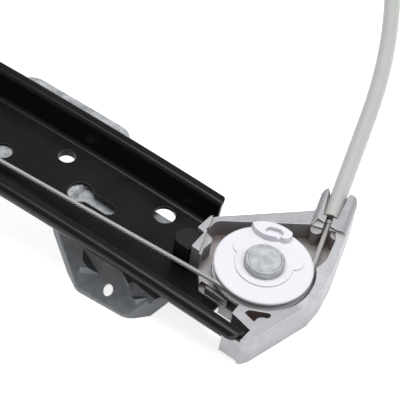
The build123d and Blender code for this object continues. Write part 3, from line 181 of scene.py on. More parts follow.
class Graph:
    """The nodes of one material, or of the world."""

    def __init__(self, owner: bpy.types.ID) -> None:
        """Clear the owner's nodes.

        Args:
            owner: The material or world that the nodes are in.
        """
        owner.use_nodes = True
        self.owner = owner
        self.tree = owner.node_tree
        self.tree.nodes.clear()

    def node(
        self,
        kind: str,
        settings: dict[str, Any] | None = None,
        inputs: Sequence[Any] | dict[str | int, Any] = (),
        output: int | str = 0,
    ) -> Socket:
        """Add one node of any kind.

        Args:
            kind: The node's type.
            settings: Properties that are set first.
            inputs: Values or sockets, in order or by the socket's name.
            output: Which output to hand back.

        Returns:
            The chosen output, wrapped.
        """
        made = self.tree.nodes.new(kind)
        for key, value in (settings or {}).items():
            setattr(made, key, value)
        pairs = inputs.items() if isinstance(inputs, dict) else enumerate(inputs)
        for key, value in pairs:
            target = made.inputs[key]
            if isinstance(value, Socket):
                self.tree.links.new(value.output, target)
            elif isinstance(value, tuple) and target.type == "RGBA":
                target.default_value = (*value, 1.0)
            else:
                target.default_value = value
        return Socket(self, made.outputs[output] if made.outputs else None)

    def place(self) -> Socket:
        """Object coordinates, in metres."""
        return self.node("ShaderNodeTexCoord", output="Object")

    def height_mm(self) -> Socket:
        """Height over the surface that the object lies on, in millimetres."""
        return self.node("ShaderNodeSeparateXYZ", {}, [self.place()], "Z") / MM

    def noise(self, grain: Grain) -> Socket:
        """Even noise over the object.

        Args:
            grain: How fine and how rough it is.

        Returns:
            The noise, from nought to one.
        """
        inputs = {
            "Vector": self.place(),
            "Scale": grain.per_metre,
            "Detail": grain.layers,
            "Roughness": grain.finer,
        }
        return self.node("ShaderNodeTexNoise", {"noise_dimensions": "3D"}, inputs)

    def blend(self, amount: Any, low: Any, high: Any) -> Socket:
        """Mix two colours.

        Args:
            amount: Nought gives low and one gives high.
            low: First colour.
            high: Second colour.

        Returns:
            The mixed colour.
        """
        inputs = {"Factor": amount, MIX_LOW: low, MIX_HIGH: high}
        return self.node("ShaderNodeMix", {"data_type": "RGBA"}, inputs, MIX_COLOUR)

    def softened(self, radius_mm: float) -> Socket:
        """The normal as if sharp edges were rounded to a radius."""
        radius = {"Radius": radius_mm * MM}
        return self.node("ShaderNodeBevel", {"samples": BEVEL_SAMPLES}, radius)

    def edge_wear_and_sheen(self, radius_mm: float, reach: float) -> Socket:
        """Find the sharp edges, for painted highlight and wear.

        Args:
            radius_mm: How far from an edge the painted highlight and wear reach.
            reach: How fast it rises to one.

        Returns:
            One along the edges and nought on the faces.
        """
        flat = self.node("ShaderNodeNewGeometry", output="Normal")
        pair = [self.softened(radius_mm), flat]
        agree = self.node("ShaderNodeVectorMath", {"operation": "DOT_PRODUCT"}, pair, "Value")
        return ((1.0 - agree) * reach).clamped()

    def hollows(self, reach_mm: float) -> Socket:
        """Find recesses and inner corners, where painted shade goes.

        Args:
            reach_mm: How wide a recess may be.

        Returns:
            Nought in the open and up to one deep inside.
        """
        settings = {"samples": HOLLOW_SAMPLES, "only_local": True}
        reach = {"Distance": reach_mm * MM}
        return 1.0 - self.node("ShaderNodeAmbientOcclusion", settings, reach, "AO")

    def relief(self, height: Any, relief: Relief) -> Socket:
        """Bumps over softened edges.

        Args:
            height: The pattern, from nought to one.
            relief: How deep and strong it is, and how round the edges look.

        Returns:
            The bent normal.
        """
        inputs = {
            "Strength": relief.strength,
            "Distance": relief.depth_mm * MM,
            "Height": height,
            "Normal": self.softened(relief.edge_mm),
        }
        return self.node("ShaderNodeBump", {}, inputs)

    def surface(self, **inputs: Any) -> Material:
        """Finish the material with one principled shader.

        Args:
            inputs: The shader's inputs, with underscores for spaces.

        Returns:
            The finished material.
        """
        named = {key.replace("_", " "): value for key, value in inputs.items()}
        shader = self.node("ShaderNodeBsdfPrincipled", {}, named)
        self.node("ShaderNodeOutputMaterial", {}, {"Surface": shader})
        return self.owner


@dataclass(frozen=True)
class CastAlloy:
    """Die-cast zinc alloy with its grainy skin."""

    name: str = "cast_alloy"
    pale: Colour = (0.525, 0.53, 0.555)
    dark: Colour = (0.25, 0.255, 0.27)
    # painted highlight, partly wear: the colour that sharp edges are lightened to
    bright: Colour = (0.80, 0.80, 0.82)
    # recess colour: partly a brownish tone, partly painted shade that falls in hollows
    inside: Colour = (0.27, 0.215, 0.195)
    roughness: float = 0.46
    roughness_spread: float = 0.25
    metallic: float = 0.6
    blotch: Grain = Grain(160.0, 4.0)
    speck: Grain = Grain(1400.0, 2.0, 0.7)
    blotch_shade: float = 0.6
    speck_shade: float = 0.7
    shade_drop: float = 0.25
    wear_and_sheen_mm: float = 0.5
    wear_and_sheen_reach: float = 4.0
    wear_and_sheen_share: float = 0.65
    recess_mm: float = 14.0
    recess_gain: float = 1.3
    speck_relief: float = 0.7
    skin: Relief = Relief(0.2, 0.6, 0.35)

    def material(self) -> Material:
        """Build the finish: specked skin, recesses tinted brown and darkened as painted shade, and
        edges painted bright as painted highlight and wear.

        Returns:
            The finished material.
        """
        g = Graph(bpy.data.materials.new(self.name))
        blotch, speck = g.noise(self.blotch), g.noise(self.speck)
        shade = (blotch * self.blotch_shade + speck * self.speck_shade - self.shade_drop).clamped()
        # painted shade, partly brown tone: recesses and inner corners turn darker and browner
        recess = (g.hollows(self.recess_mm) * self.recess_gain).clamped()
        skin = g.blend(recess, g.blend(shade, self.dark, self.pale), self.inside)
        # painted highlight, partly wear: sharp edges turn bright
        wear_and_sheen = g.edge_wear_and_sheen(self.wear_and_sheen_mm, self.wear_and_sheen_reach) * self.wear_and_sheen_share
        height = speck * self.speck_relief + blotch * (1.0 - self.speck_relief)
        return g.surface(
            Base_Color=g.blend(wear_and_sheen, skin, self.bright),
            Metallic=self.metallic,
            Roughness=speck.about(self.roughness, self.roughness_spread),
            Normal=g.relief(height, self.skin),
        )


@dataclass(frozen=True)
class BlackPaint:
    """Black dip coating over steel sheet."""

    name: str = "black_paint"
    colour: Colour = (0.004, 0.004, 0.0045)
    cloudy: Colour = (0.008, 0.008, 0.0085)
    # painted highlight lines, partly rubbed paint: the colour that sharp edges are lightened to
    rubbed_and_sheen: Colour = (0.06, 0.061, 0.063)
    roughness: float = 0.26
    roughness_spread: float = 0.2
    gloss: float = 0.2
    cloud: Grain = Grain(70.0)
    peel: Grain = Grain(900.0, 2.0)
    wear_and_sheen_mm: float = 0.7
    wear_and_sheen_reach: float = 5.0
    wear_and_sheen_least: float = 0.35
    coat: Relief = Relief(0.03, 0.25, 0.4)

    def material(self) -> Material:
        """Build the finish: cloudy paint, with edges painted lighter as painted highlight lines
        and rubbed paint.

        Returns:
            The finished material.
        """
        g = Graph(bpy.data.materials.new(self.name))
        cloud = g.noise(self.cloud)
        patchy = self.wear_and_sheen_least + cloud * (1.0 - self.wear_and_sheen_least)
        # painted highlight lines along the bends, partly rubbed paint, broken up by the clouds
        wear_and_sheen = g.edge_wear_and_sheen(self.wear_and_sheen_mm, self.wear_and_sheen_reach) * patchy
        return g.surface(
            Base_Color=g.blend(wear_and_sheen, g.blend(cloud, self.colour, self.cloudy), self.rubbed_and_sheen),
            Metallic=0.0,
            Roughness=cloud.about(self.roughness, self.roughness_spread),
            Specular_IOR_Level=self.gloss,
            Normal=g.relief(g.noise(self.peel), self.coat),
        )


@dataclass(frozen=True)
class PlatedSteel:
    """Zinc plated steel, mottled by its bath, with painted shade darker low down."""

    name: str = "plated_steel"
    pale: Colour = (0.58, 0.60, 0.62)
    dark: Colour = (0.24, 0.25, 0.265)
    roughness: float = 0.5
    metallic: float = 0.5
    low_mm: float = -1.0
    high_mm: float = 0.0
    # painted shade: below low_mm the clouds keep only this share of their lightness; 1 paints none
    painted_shade_keep: float = 1.0
    cloud: Grain = Grain(260.0, 5.0, 0.7)
    cloud_contrast: float = 1.9
    fine: Grain = Grain(1900.0, 2.0)
    fine_relief: float = 0.5
    roughness_spread: float = 0.3
    skin: Relief = Relief(0.04, 0.3, 0.3)

    def material(self) -> Material:
        """Build the finish: clouds of dark and pale, full strength above high_mm, and darker below
        it as painted shade.

        Returns:
            The finished material.
        """
        g = Graph(bpy.data.materials.new(self.name))
        cloud = g.noise(self.cloud).about(NOISE_MEAN, self.cloud_contrast)
        fine = g.noise(self.fine)
        # painted shade: darker towards the bottom, between low_mm and high_mm
        height = (g.height_mm() - self.low_mm) / (self.high_mm - self.low_mm)
        shade = cloud * (height.clamped() * (1.0 - self.painted_shade_keep) + self.painted_shade_keep)
        bumps = fine * self.fine_relief + cloud * (1.0 - self.fine_relief)
        return g.surface(
            Base_Color=g.blend(shade, self.dark, self.pale),
            Metallic=self.metallic,
            Roughness=cloud.about(self.roughness, self.roughness_spread),
            Normal=g.relief(bumps, self.skin),
        )


@dataclass(frozen=True)
class Plastic:
    """Moulded plastic or rubber in one colour, with a faint mottle."""

    name: str
    colour: Colour
    roughness: float = 0.42
    mottle: float = 0.08
    gloss: float = 0.5
    cloud: Grain = Grain(120.0)
    fine: Grain = Grain(1500.0, 2.0)
    roughness_spread: float = 0.12
    skin: Relief = Relief(0.02, 0.2, 0.3)

    def material(self) -> Material:
        """Build the finish: two close shades under a fine moulded skin.

        Returns:
            The finished material.
        """
        g = Graph(bpy.data.materials.new(self.name))
        fine = g.noise(self.fine)
        deeper = tuple(part * (1.0 - self.mottle) for part in self.colour)
        return g.surface(
            Base_Color=g.blend(g.noise(self.cloud), deeper, self.colour),
            Specular_IOR_Level=self.gloss,
            Metallic=0.0,
            Roughness=fine.about(self.roughness, self.roughness_spread),
            Normal=g.relief(fine, self.skin),
        )


@dataclass(frozen=True)
class StrandedSteel:
    """Bright steel wire, laid up in strands."""

    name: str = "stranded_steel"
    colour: Colour = (0.66, 0.65, 0.63)
    dull: Colour = (0.42, 0.42, 0.41)
    metallic: float = 0.35
    roughness: float = 0.5
    fine: Grain = Grain(2400.0, 2.0)
    skin: Relief = Relief(0.03, 0.3, 0.1)

    def material(self) -> Material:
        """Build the finish: drawn wire with dull specks.

        Returns:
            The finished material.
        """
        g = Graph(bpy.data.materials.new(self.name))
        fine = g.noise(self.fine)
        return g.surface(
            Base_Color=g.blend(fine, self.dull, self.colour),
            Metallic=self.metallic,
            Roughness=self.roughness,
            Normal=g.relief(fine, self.skin),
        )


Recipe = CastAlloy | BlackPaint | PlatedSteel | Plastic | StrandedSteel


def mixed(recipe: Recipe) -> Any:
    """A field that holds a recipe's material, built with the rest."""
    return field(default_factory=recipe.material)


@dataclass
class Finishes:
    """Every finish of the regulator, built once."""

    cast_alloy: Material = mixed(CastAlloy())
    black_paint: Material = mixed(BlackPaint())
    bracket_zinc: Material = mixed(
        PlatedSteel(
            "bracket_zinc",
            (0.60, 0.62, 0.645),
            (0.13, 0.14, 0.15),
            metallic=0.45,
            # painted shade on the leg under the rail: darker below 18 mm, darkest below 11 mm
            low_mm=11.0,
            high_mm=18.0,
            painted_shade_keep=0.25,
        )
    )
    carriage_zinc: Material = mixed(
        PlatedSteel("carriage_zinc", (0.5, 0.515, 0.53), (0.28, 0.29, 0.3))
    )
    pin_zinc: Material = mixed(PlatedSteel("pin_zinc"))
    bright_steel: Material = mixed(
        PlatedSteel("bright_steel", (0.58, 0.58, 0.59), (0.42, 0.42, 0.43), 0.34)
    )
    pulley_plastic: Material = mixed(Plastic("pulley_plastic", (0.71, 0.705, 0.75), 0.4, 0.07))
    glide_plastic: Material = mixed(Plastic("glide_plastic", (0.66, 0.65, 0.58), 0.45))
    black_plastic: Material = mixed(
        Plastic("black_plastic", (0.016, 0.016, 0.017), 0.45, gloss=0.35)
    )
    rubber: Material = mixed(Plastic("rubber", (0.006, 0.006, 0.006), 0.6, gloss=0.25))
    sheath: Material = mixed(Plastic("sheath", (0.44, 0.455, 0.435), 0.4))
    strand: Material = mixed(StrandedSteel())
    core: Material = mixed(
        StrandedSteel("cable_core", (0.40, 0.395, 0.385), (0.25, 0.25, 0.24))
    )
    liner: Material = mixed(Plastic("liner", (0.05, 0.03, 0.024), 0.5))


def pick(pieces: Sequence[Piece]) -> None:
    """Select only these pieces, the first of them active.

    Args:
        pieces: The pieces, in object mode.
    """
    bpy.ops.object.select_all(action="DESELECT")
    for piece in pieces:
        piece.select_set(True)
    bpy.context.view_layer.objects.active = pieces[0]


def join(pieces: Sequence[Piece]) -> Piece:
    """Join several pieces into the first of them.

    Args:
        pieces: The pieces, in object mode.

    Returns:
        The first piece, which now holds them all.
    """
    pick(pieces)
    bpy.ops.object.join()
    return pieces[0]


def settle(piece: Piece, place: Matrix) -> None:
    """Put the selected piece in its place and apply that to its mesh."""
    piece.matrix_world = place
    bpy.ops.object.transform_apply(location=True, rotation=True, scale=True)


def start_piece(name: str, radius_mm: float, sides: int, filled: bool) -> Piece:
    """Add a circle that faces along X and open it for editing.

    Args:
        name: The piece's name.
        radius_mm: The circle's radius.
        sides: How many sides it has.
        filled: Whether it has a face.

    Returns:
        The piece, in edit mode with all of it selected.
    """
    bpy.ops.object.select_all(action="DESELECT")
    bpy.ops.mesh.primitive_circle_add(
        vertices=sides,
        radius=radius_mm * MM,
        fill_type="NGON" if filled else "NOTHING",
        location=ORIGIN,
        rotation=(0.0, math.pi / 2.0, 0.0),
    )
    piece = bpy.context.object
    piece.name = name
    piece.data.name = name
    bpy.ops.object.transform_apply(location=True, rotation=True, scale=True)
    bpy.ops.object.mode_set(mode="EDIT")
    bpy.ops.mesh.select_all(action="SELECT")
    return piece


def shift(x_mm: float, y_mm: float, z_mm: float) -> None:
    """Move what is selected in edit mode."""
    bpy.ops.transform.translate(value=(x_mm * MM, y_mm * MM, z_mm * MM))


def push(distance_mm: float, way: Place = ALONG_X) -> None:
    """Extrude the selected faces along an axis."""
    step = tuple(part * distance_mm * MM for part in way)
    bpy.ops.mesh.extrude_region_move(TRANSFORM_OT_translate={"value": step})


def shrink(border_mm: float) -> None:
    """Inset the selected faces by a border."""
    bpy.ops.mesh.inset(thickness=border_mm * MM, depth=0.0, use_even_offset=True)


def turn_outwards() -> None:
    """Turn all the faces of the piece in edit mode outwards."""
    bpy.ops.mesh.select_all(action="SELECT")
    bpy.ops.mesh.normals_make_consistent(inside=False)


def set_down(piece: Piece, start: Vector, way: Vector) -> None:
    """Move a piece modelled along X to its place and direction.

    Args:
        piece: The piece, in object mode at the origin.
        start: Where its origin goes.
        way: Where its X axis points.
    """
    pick([piece])
    turn = way.to_track_quat("X", "Z").to_matrix().to_4x4()
    settle(piece, Matrix.Translation(start) @ turn)


def repeat(piece: Piece, count: int, step: Matrix) -> None:
    """Repeat a piece, each copy moved on from the last by one step.

    Args:
        piece: The piece to repeat.
        count: How many there are in the end.
        step: The move from one to the next.
    """
    marker = bpy.data.objects.new("marker", None)
    bpy.context.scene.collection.objects.link(marker)
    marker.matrix_world = step
    bpy.context.view_layer.update()
    array = piece.modifiers.new("repeat", "ARRAY")
    array.count = count
    array.use_relative_offset = False
    array.use_object_offset = True
    array.offset_object = marker
    array.use_merge_vertices = True
    array.merge_threshold = WELD_MM * MM
    bpy.context.view_layer.objects.active = piece
    bpy.ops.object.modifier_apply(modifier=array.name)
    bpy.data.objects.remove(marker)


def mirror_ends(piece: Piece) -> None:
    """Give the rail's other end the same piece.

    Args:
        piece: The piece, in object mode.
    """
    bpy.context.view_layer.objects.active = piece
    other = piece.modifiers.new("other_end", "MIRROR")
    other.use_axis = (True, False, False)
    other.use_mirror_merge = False
    bpy.ops.object.modifier_apply(modifier=other.name)


def close_and_smooth(piece: Piece, angle_deg: float) -> None:
    """Close open ends, turn the faces outwards and shade the piece.

    Args:
        piece: The piece, in object mode.
        angle_deg: Edges sharper than this stay sharp.
    """
    pick([piece])
    bpy.ops.object.mode_set(mode="EDIT")
    bpy.ops.mesh.select_all(action="SELECT")
    bpy.ops.mesh.fill_holes(sides=0)
    turn_outwards()
    bpy.ops.object.mode_set(mode="OBJECT")
    bpy.ops.object.shade_smooth_by_angle(angle=math.radians(angle_deg))


def attach(piece: Piece, material: Material) -> None:
    """Dress a new piece and let it ride on the frame.

    Args:
        piece: The finished piece.
        material: Its finish.
    """
    piece.data.materials.clear()
    piece.data.materials.append(material)
    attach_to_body(piece, FRAME_BODY)
    LOG.info("made %s, %d faces", piece.name, len(piece.data.polygons))


def dress(names: Iterable[str], material: Material) -> None:
    """Give CAD nodes one finish.

    Args:
        names: The nodes' names.
        material: The finish.
    """
    for name in names:
        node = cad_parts[name]
        node.data.materials.clear()
        node.data.materials.append(material)
        LOG.info("dressed %s in %s", name, material.name)


def circle(radius: float, sides: int, x: float = 0.0, y: float = 0.0) -> list[Vector]:
    """Points round a circle.

    Args:
        radius: The circle's radius.
        sides: How many points there are.
        x: Where its centre is, along X.
        y: Where its centre is, along Y.

    Returns:
        The points in the plane.
    """
    around = [math.tau * step / sides for step in range(sides)]
    return [Vector((x + radius * math.cos(a), y + radius * math.sin(a))) for a in around]


def rounded(corners: Sequence[Place], steps: int, closed: bool) -> list[Vector]:
    """Round the corners of an outline.

    Args:
        corners: Each corner's place in the plane and its radius.
        steps: How many straight pieces each rounded corner has.
        closed: Whether the outline ends where it starts.

    Returns:
        The outline's points in the plane.
    """
    found: list[Vector] = []
    last = len(corners) - 1
    for number, (x, y, radius) in enumerate(corners):
        here = Vector((x, y))
        if radius == 0.0 or (not closed and number in (0, last)):
            found.append(here)
            continue
        before = (Vector(corners[number - 1][:2]) - here).normalized()
        after = (Vector(corners[(number + 1) % len(corners)][:2]) - here).normalized()
        half = before.angle(after) / 2.0
        hub = here + (before + after).normalized() * (radius / math.sin(half))
        first = here + before * (radius / math.tan(half)) - hub
        final = here + after * (radius / math.tan(half)) - hub
        sweep = first.angle_signed(final)
        for step in range(steps + 1):
            found.append(hub + Matrix.Rotation(-sweep * step / steps, 2) @ first)
    return found


def draw_outline(name: str, flat: Sequence[Vector], closed: bool) -> Piece:
    """Draw an outline in the XY plane by extruding one corner from place to place.

    Args:
        name: The piece's name.
        flat: The outline's points, in millimetres.
        closed: Whether it is filled.

    Returns:
        The piece, in edit mode with all of it selected.
    """
    piece = start_piece(name, SEED_MM, SEED_SIDES, False)
    bpy.ops.mesh.merge(type="CENTER")
    shift(flat[0].x, flat[0].y, 0.0)
    for before, after in zip(flat, flat[1:]):
        step = (after - before) * MM
        bpy.ops.mesh.extrude_vertices_move(
            TRANSFORM_OT_translate={"value": (step.x, step.y, 0.0)}
        )
    bpy.ops.mesh.select_all(action="SELECT")
    if closed:
        bpy.ops.mesh.edge_face_add()
    return piece


@dataclass
class RailUnit:
    """The curved rail, pressed, bent and punched, and the stamped brackets under it."""

    brackets: tuple[str, ...] = ("lower_mounting_bracket", "upper_mounting_bracket")
    rail_y: float = -197.4
    axis_height: float = -1609.078
    radius: float = 1640.0
    end_x: float = 272.234
    sheet: float = 1.5
    web_half: float = 22.0
    wall_lean: float = 1.4
    wall_height: float = 13.2
    flange_half: float = 29.5
    lip_drop: float = 3.6
    bend: float = 2.2
    lip_bend_extra: float = 0.6
    bend_steps: int = 7
    arc_steps: int = 150
    blank_spare: float = 4.0
    near_end: float = 14.8
    far_end: float = -31.9
    web_end: float = -6.0
    near_step: float = -16.0
    far_step: float = 20.8
    step_bends: tuple[float, ...] = (0.5, 1.5, 2.0, 0.5)
    tip: float = 5.0
    slack: float = 0.02
    block_length: float = 600.0
    block_depth: float = 130.0
    block_steps: int = 6
    punch_depth: float = 3.0
    punch_sides: int = 40
    round_holes: tuple[Place, ...] = ((51.5, 13.6, 9.2), (124.0, -2.0, 8.6))
    collared_hole: Place = (101.8, 13.0, 7.4)
    collar_wall: float = 1.2
    collar_depth: float = 2.0
    collar_overlap: float = 0.05
    keyhole_inset: float = 85.1
    keyhole_offset: float = 0.6
    keyhole_diameter: float = 11.0
    slot_width: float = 6.2
    slot_length: float = 14.4
    slot_steps: int = 10
    slot_flat: float = 0.01
    middle_holes: tuple[float, ...] = (-60.0, 0.0, 60.0)
    middle_diameter: float = 8.6
    rivets: tuple[tuple[float, float], ...] = ((-15.0, 2.5), (-15.0, 16.5))
    rivet_radius: float = 2.5
    smooth_deg: float = 28.0

    def build(self, finishes: Finishes) -> None:
        """Model the rail and dress its brackets.

        Args:
            finishes: The regulator's finishes.
        """
        rail = self.sheet_channel()
        for side in ENDS:
            self.press(rail, self.end_block(side), Press.TRIM)
        self.press(rail, self.hole_punches(), Press.PUNCH)
        self.press(rail, self.slot_punches(), Press.PUNCH)
        join([rail, *(self.collar(side) for side in ENDS)])
        bpy.ops.object.shade_smooth_by_angle(angle=math.radians(self.smooth_deg))
        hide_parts("guide_rail")
        attach(rail, finishes.black_paint)
        dress(self.brackets, finishes.bracket_zinc)

    def seat(self, angle: float) -> Matrix:
        """Frame on the rail's web: X along the rail, Y across it and Z off the web.

        Args:
            angle: How far round the rail's arc, in radians.

        Returns:
            The frame's place, in metres.
        """
        along, up = self.radius * math.sin(angle), self.radius * math.cos(angle)
        origin = Vector((along, self.rail_y, self.axis_height + up))
        return Matrix.Translation(origin * MM) @ Matrix.Rotation(angle, 4, "Y")

    def end_angle(self) -> float:
        """Angle of the pulley's seat, in radians."""
        return math.asin(self.end_x / self.radius)

    def end_seat(self, side: int) -> Matrix:
        """The frame at the pulley of one end."""
        return self.seat(side * self.end_angle())

    def inset_seat(self, side: int, distance: float) -> Matrix:
        """The frame at a place that far in from one end's pulley."""
        return self.seat(side * (self.end_angle() - distance / self.radius))

    def sheet_channel(self) -> Piece:
        """Bend the sheet to its channel section and spin it along the rail's arc.

        Returns:
            The channel, longer than the rail and not yet punched.
        """
        side = [
            (self.flange_half, self.wall_height - self.lip_drop, 0.0),
            (self.flange_half, self.wall_height, self.bend + self.lip_bend_extra),
            (self.web_half + self.wall_lean, self.wall_height, self.bend),
            (self.web_half, 0.0, self.bend),
        ]
        corners = side + [(-x, y, radius) for x, y, radius in reversed(side)]
        section = rounded(corners, self.bend_steps, False)
        piece = draw_outline("guide_rail_sheet", section, False)
        blank = self.end_angle() + (self.near_end + self.blank_spare) / self.radius
        bpy.ops.object.mode_set(mode="OBJECT")
        stand = Matrix(((0, 0, 1, 0), (1, 0, 0, 0), (0, 1, 0, 0), (0, 0, 0, 1)))
        settle(piece, self.seat(-blank) @ stand)
        bpy.ops.object.mode_set(mode="EDIT")
        bpy.ops.mesh.select_all(action="SELECT")
        bpy.ops.mesh.spin(
            steps=self.arc_steps,
            angle=-2.0 * blank,
            center=(0.0, self.rail_y * MM, self.axis_height * MM),
            axis=(0.0, 1.0, 0.0),
        )
        bpy.ops.object.mode_set(mode="OBJECT")
        self.face_up(piece)
        wall = piece.modifiers.new("sheet", "SOLIDIFY")
        wall.thickness = self.sheet * MM
        wall.offset = -1.0
        wall.use_even_offset = True
        bpy.ops.object.modifier_apply(modifier=wall.name)
        return piece

    def face_up(self, piece: Piece) -> None:
        """Turn the bent sheet so that its web faces up.

        Args:
            piece: The sheet, before it has its thickness.
        """
        widest = max(piece.data.polygons, key=lambda face: face.area)
        if widest.normal.z < 0.0:
            bpy.ops.object.mode_set(mode="EDIT")
            bpy.ops.mesh.select_all(action="SELECT")
            bpy.ops.mesh.flip_normals()
            bpy.ops.object.mode_set(mode="OBJECT")

    def press(self, rail: Piece, tool: Piece, how: Press) -> None:
        """Trim or punch the rail and drop the tool.

        Args:
            rail: The rail.
            tool: The block or punches.
            how: What the tool does.
        """
        pick([rail])
        stroke = rail.modifiers.new("press", "BOOLEAN")
        stroke.operation = how.value
        stroke.solver = "EXACT"
        stroke.object = tool
        bpy.ops.object.modifier_apply(modifier=stroke.name)
        bpy.data.objects.remove(tool)

    def tool(self, name: str, flat: Sequence[Vector], depth: float, seat: Matrix) -> Piece:
        """Make a closed tool from an outline and set it on its seat.

        Args:
            name: The tool's name.
            flat: Its outline, in millimetres.
            depth: How far it reaches either side of the web.
            seat: Its frame.

        Returns:
            The tool, in object mode.
        """
        piece = draw_outline(name, flat, True)
        shift(0.0, 0.0, -depth)
        push(2.0 * depth, ALONG_Z)
        turn_outwards()
        bpy.ops.object.mode_set(mode="OBJECT")
        settle(piece, seat)
        return piece

    def end_block(self, side: int) -> Piece:
        """The outline that trims one end in steps, as a thick block.

        Args:
            side: 1 for the lower end and -1 for the upper.

        Returns:
            The block, in object mode.
        """
        edge = self.flange_half + self.slack
        near_bend, web_bend, inner_bend, far_bend = self.step_bends
        corners = [
            (-self.block_length, -edge, 0.0),
            (self.near_end, -edge, self.tip),
            (self.near_end, self.near_step, near_bend),
            (self.web_end, self.near_step, web_bend),
            (self.web_end, self.far_step, inner_bend),
            (self.far_end, self.far_step, far_bend),
            (self.far_end, edge, self.tip),
            (-self.block_length, edge, 0.0),
        ]
        flat = rounded([(side * x, y, r) for x, y, r in corners], self.block_steps, True)
        return self.tool("end_block", flat, self.block_depth, self.end_seat(side))

    def disc(self, x: float, y: float, radius: float, seat: Matrix) -> Piece:
        """One round punch, at a place on its seat."""
        flat = circle(radius, self.punch_sides, x, y)
        return self.tool("punch", flat, self.punch_depth, seat)

    def hole_punches(self) -> Piece:
        """Make all the round punches.

        Returns:
            The punches, joined as one tool.
        """
        made: list[Piece] = []
        for side in ENDS:
            for inset, across, diameter in (*self.round_holes, self.collared_hole):
                seat = self.inset_seat(side, inset)
                made.append(self.disc(0.0, across, diameter / 2.0, seat))
            key_seat = self.inset_seat(side, self.keyhole_inset)
            key_radius = self.keyhole_diameter / 2.0
            made.append(self.disc(0.0, self.keyhole_offset, key_radius, key_seat))
            end = self.end_seat(side)
            made += [self.disc(side * u, v, self.rivet_radius, end) for u, v in self.rivets]
        middle, radius = self.seat(0.0), self.middle_diameter / 2.0
        made += [self.disc(x, 0.0, radius, middle) for x in self.middle_holes]
        return join(made)

    def slot_punches(self) -> Piece:
        """Make the punches of the keyholes' slots.

        Returns:
            The punches, joined as one tool.
        """
        made: list[Piece] = []
        half = self.slot_width / 2.0
        low, high = self.keyhole_offset - half, self.keyhole_offset + half
        bend = half - self.slot_flat
        for side in ENDS:
            reach = side * (self.slot_length + half)
            corners = [(0.0, low, 0.0), (reach, low, bend), (reach, high, bend), (0.0, high, 0.0)]
            flat = rounded(corners, self.slot_steps, True)
            seat = self.inset_seat(side, self.keyhole_inset)
            made.append(self.tool("slot", flat, self.punch_depth, seat))
        return join(made)

    def collar(self, side: int) -> Piece:
        """Stand one collared hole's drawn rim under the web.

        Args:
            side: 1 for the lower end and -1 for the upper.

        Returns:
            The rim, in object mode.
        """
        inset, across, diameter = self.collared_hole
        outer = diameter / 2.0 + self.collar_wall
        rim = draw_outline("rim", circle(outer, self.punch_sides, 0.0, across), True)
        shift(0.0, 0.0, self.collar_overlap - self.sheet)
        shrink(self.collar_wall)
        bpy.ops.mesh.delete(type="FACE")
        bpy.ops.mesh.select_all(action="SELECT")
        push(-self.collar_depth - self.collar_overlap, ALONG_Z)
        turn_outwards()
        bpy.ops.object.mode_set(mode="OBJECT")
        settle(rim, self.inset_seat(side, inset))
        return rim


@dataclass
class PulleyUnit:
    """A cast bracket with its pulley, pin, rivets and bump stop."""

    end: End
    rail: RailUnit
    pulley_offset: float = 9.5
    pin_top: float = 16.5
    rim_radius: float = 8.0
    rim_width: float = 0.75
    rim_slope: float = 0.25
    rim_height: float = 0.22
    rim_sink: float = 0.05
    rim_foot: float = 0.08
    rim_sides: int = 64
    smooth_deg: float = 30.0

    def build(self, finishes: Finishes) -> None:
        """Dress one end's pieces and turn up its pin's rim.

        Args:
            finishes: The regulator's finishes.
        """
        self.turn_up_rim(finishes.pin_zinc)
        finish_of = {
            "pulley_bracket": finishes.cast_alloy,
            "pulley": finishes.pulley_plastic,
            "pulley_pin": finishes.pin_zinc,
            "bracket_rivets": finishes.bright_steel,
            "bump_stop": finishes.rubber,
        }
        for name, material in finish_of.items():
            dress([f"{self.end.value}_{name}"], material)

    def turn_up_rim(self, material: Material) -> None:
        """Raise the upset rim round the pin's flat head.

        Args:
            material: The pin's finish.
        """
        flat = circle(self.rim_radius, self.rim_sides)
        piece = draw_outline(f"{self.end.value}_pin_rim", flat, True)
        shift(0.0, self.pulley_offset, self.pin_top - self.rim_sink)
        push(self.rim_foot, ALONG_Z)
        shrink(self.rim_slope)
        shift(0.0, 0.0, self.rim_height)
        shrink(self.rim_width)
        shrink(self.rim_slope)
        shift(0.0, 0.0, -self.rim_height)
        bpy.ops.object.mode_set(mode="OBJECT")
        settle(piece, self.rail.end_seat(1 if self.end is End.LOWER else -1))
        close_and_smooth(piece, self.smooth_deg)
        attach(piece, material)


@dataclass(frozen=True)
class StrandedRun:
    """A straight stretch of the cable that the outer strands twist round."""

    name: str
    start_mm: Place
    end_mm: Place
    lays: int

    def start(self) -> Vector:
        """Where it starts, in metres."""
        return Vector(self.start_mm) * MM

    def way(self) -> Vector:
        """From its start to its end, in metres."""
        return (Vector(self.end_mm) - Vector(self.start_mm)) * MM

    def lay_mm(self) -> float:
        """Length of one lay, in millimetres."""
        return self.way().length / MM / self.lays


@dataclass(frozen=True)
class Fitting:
    """A small turned piece at a conduit's open end.

    Its profile is a push and an inset in turn, in millimetres, from its first face on.
    """

    name: str
    radius_mm: float
    sides: int
    profile_mm: tuple[float, ...]
    slot: Slot


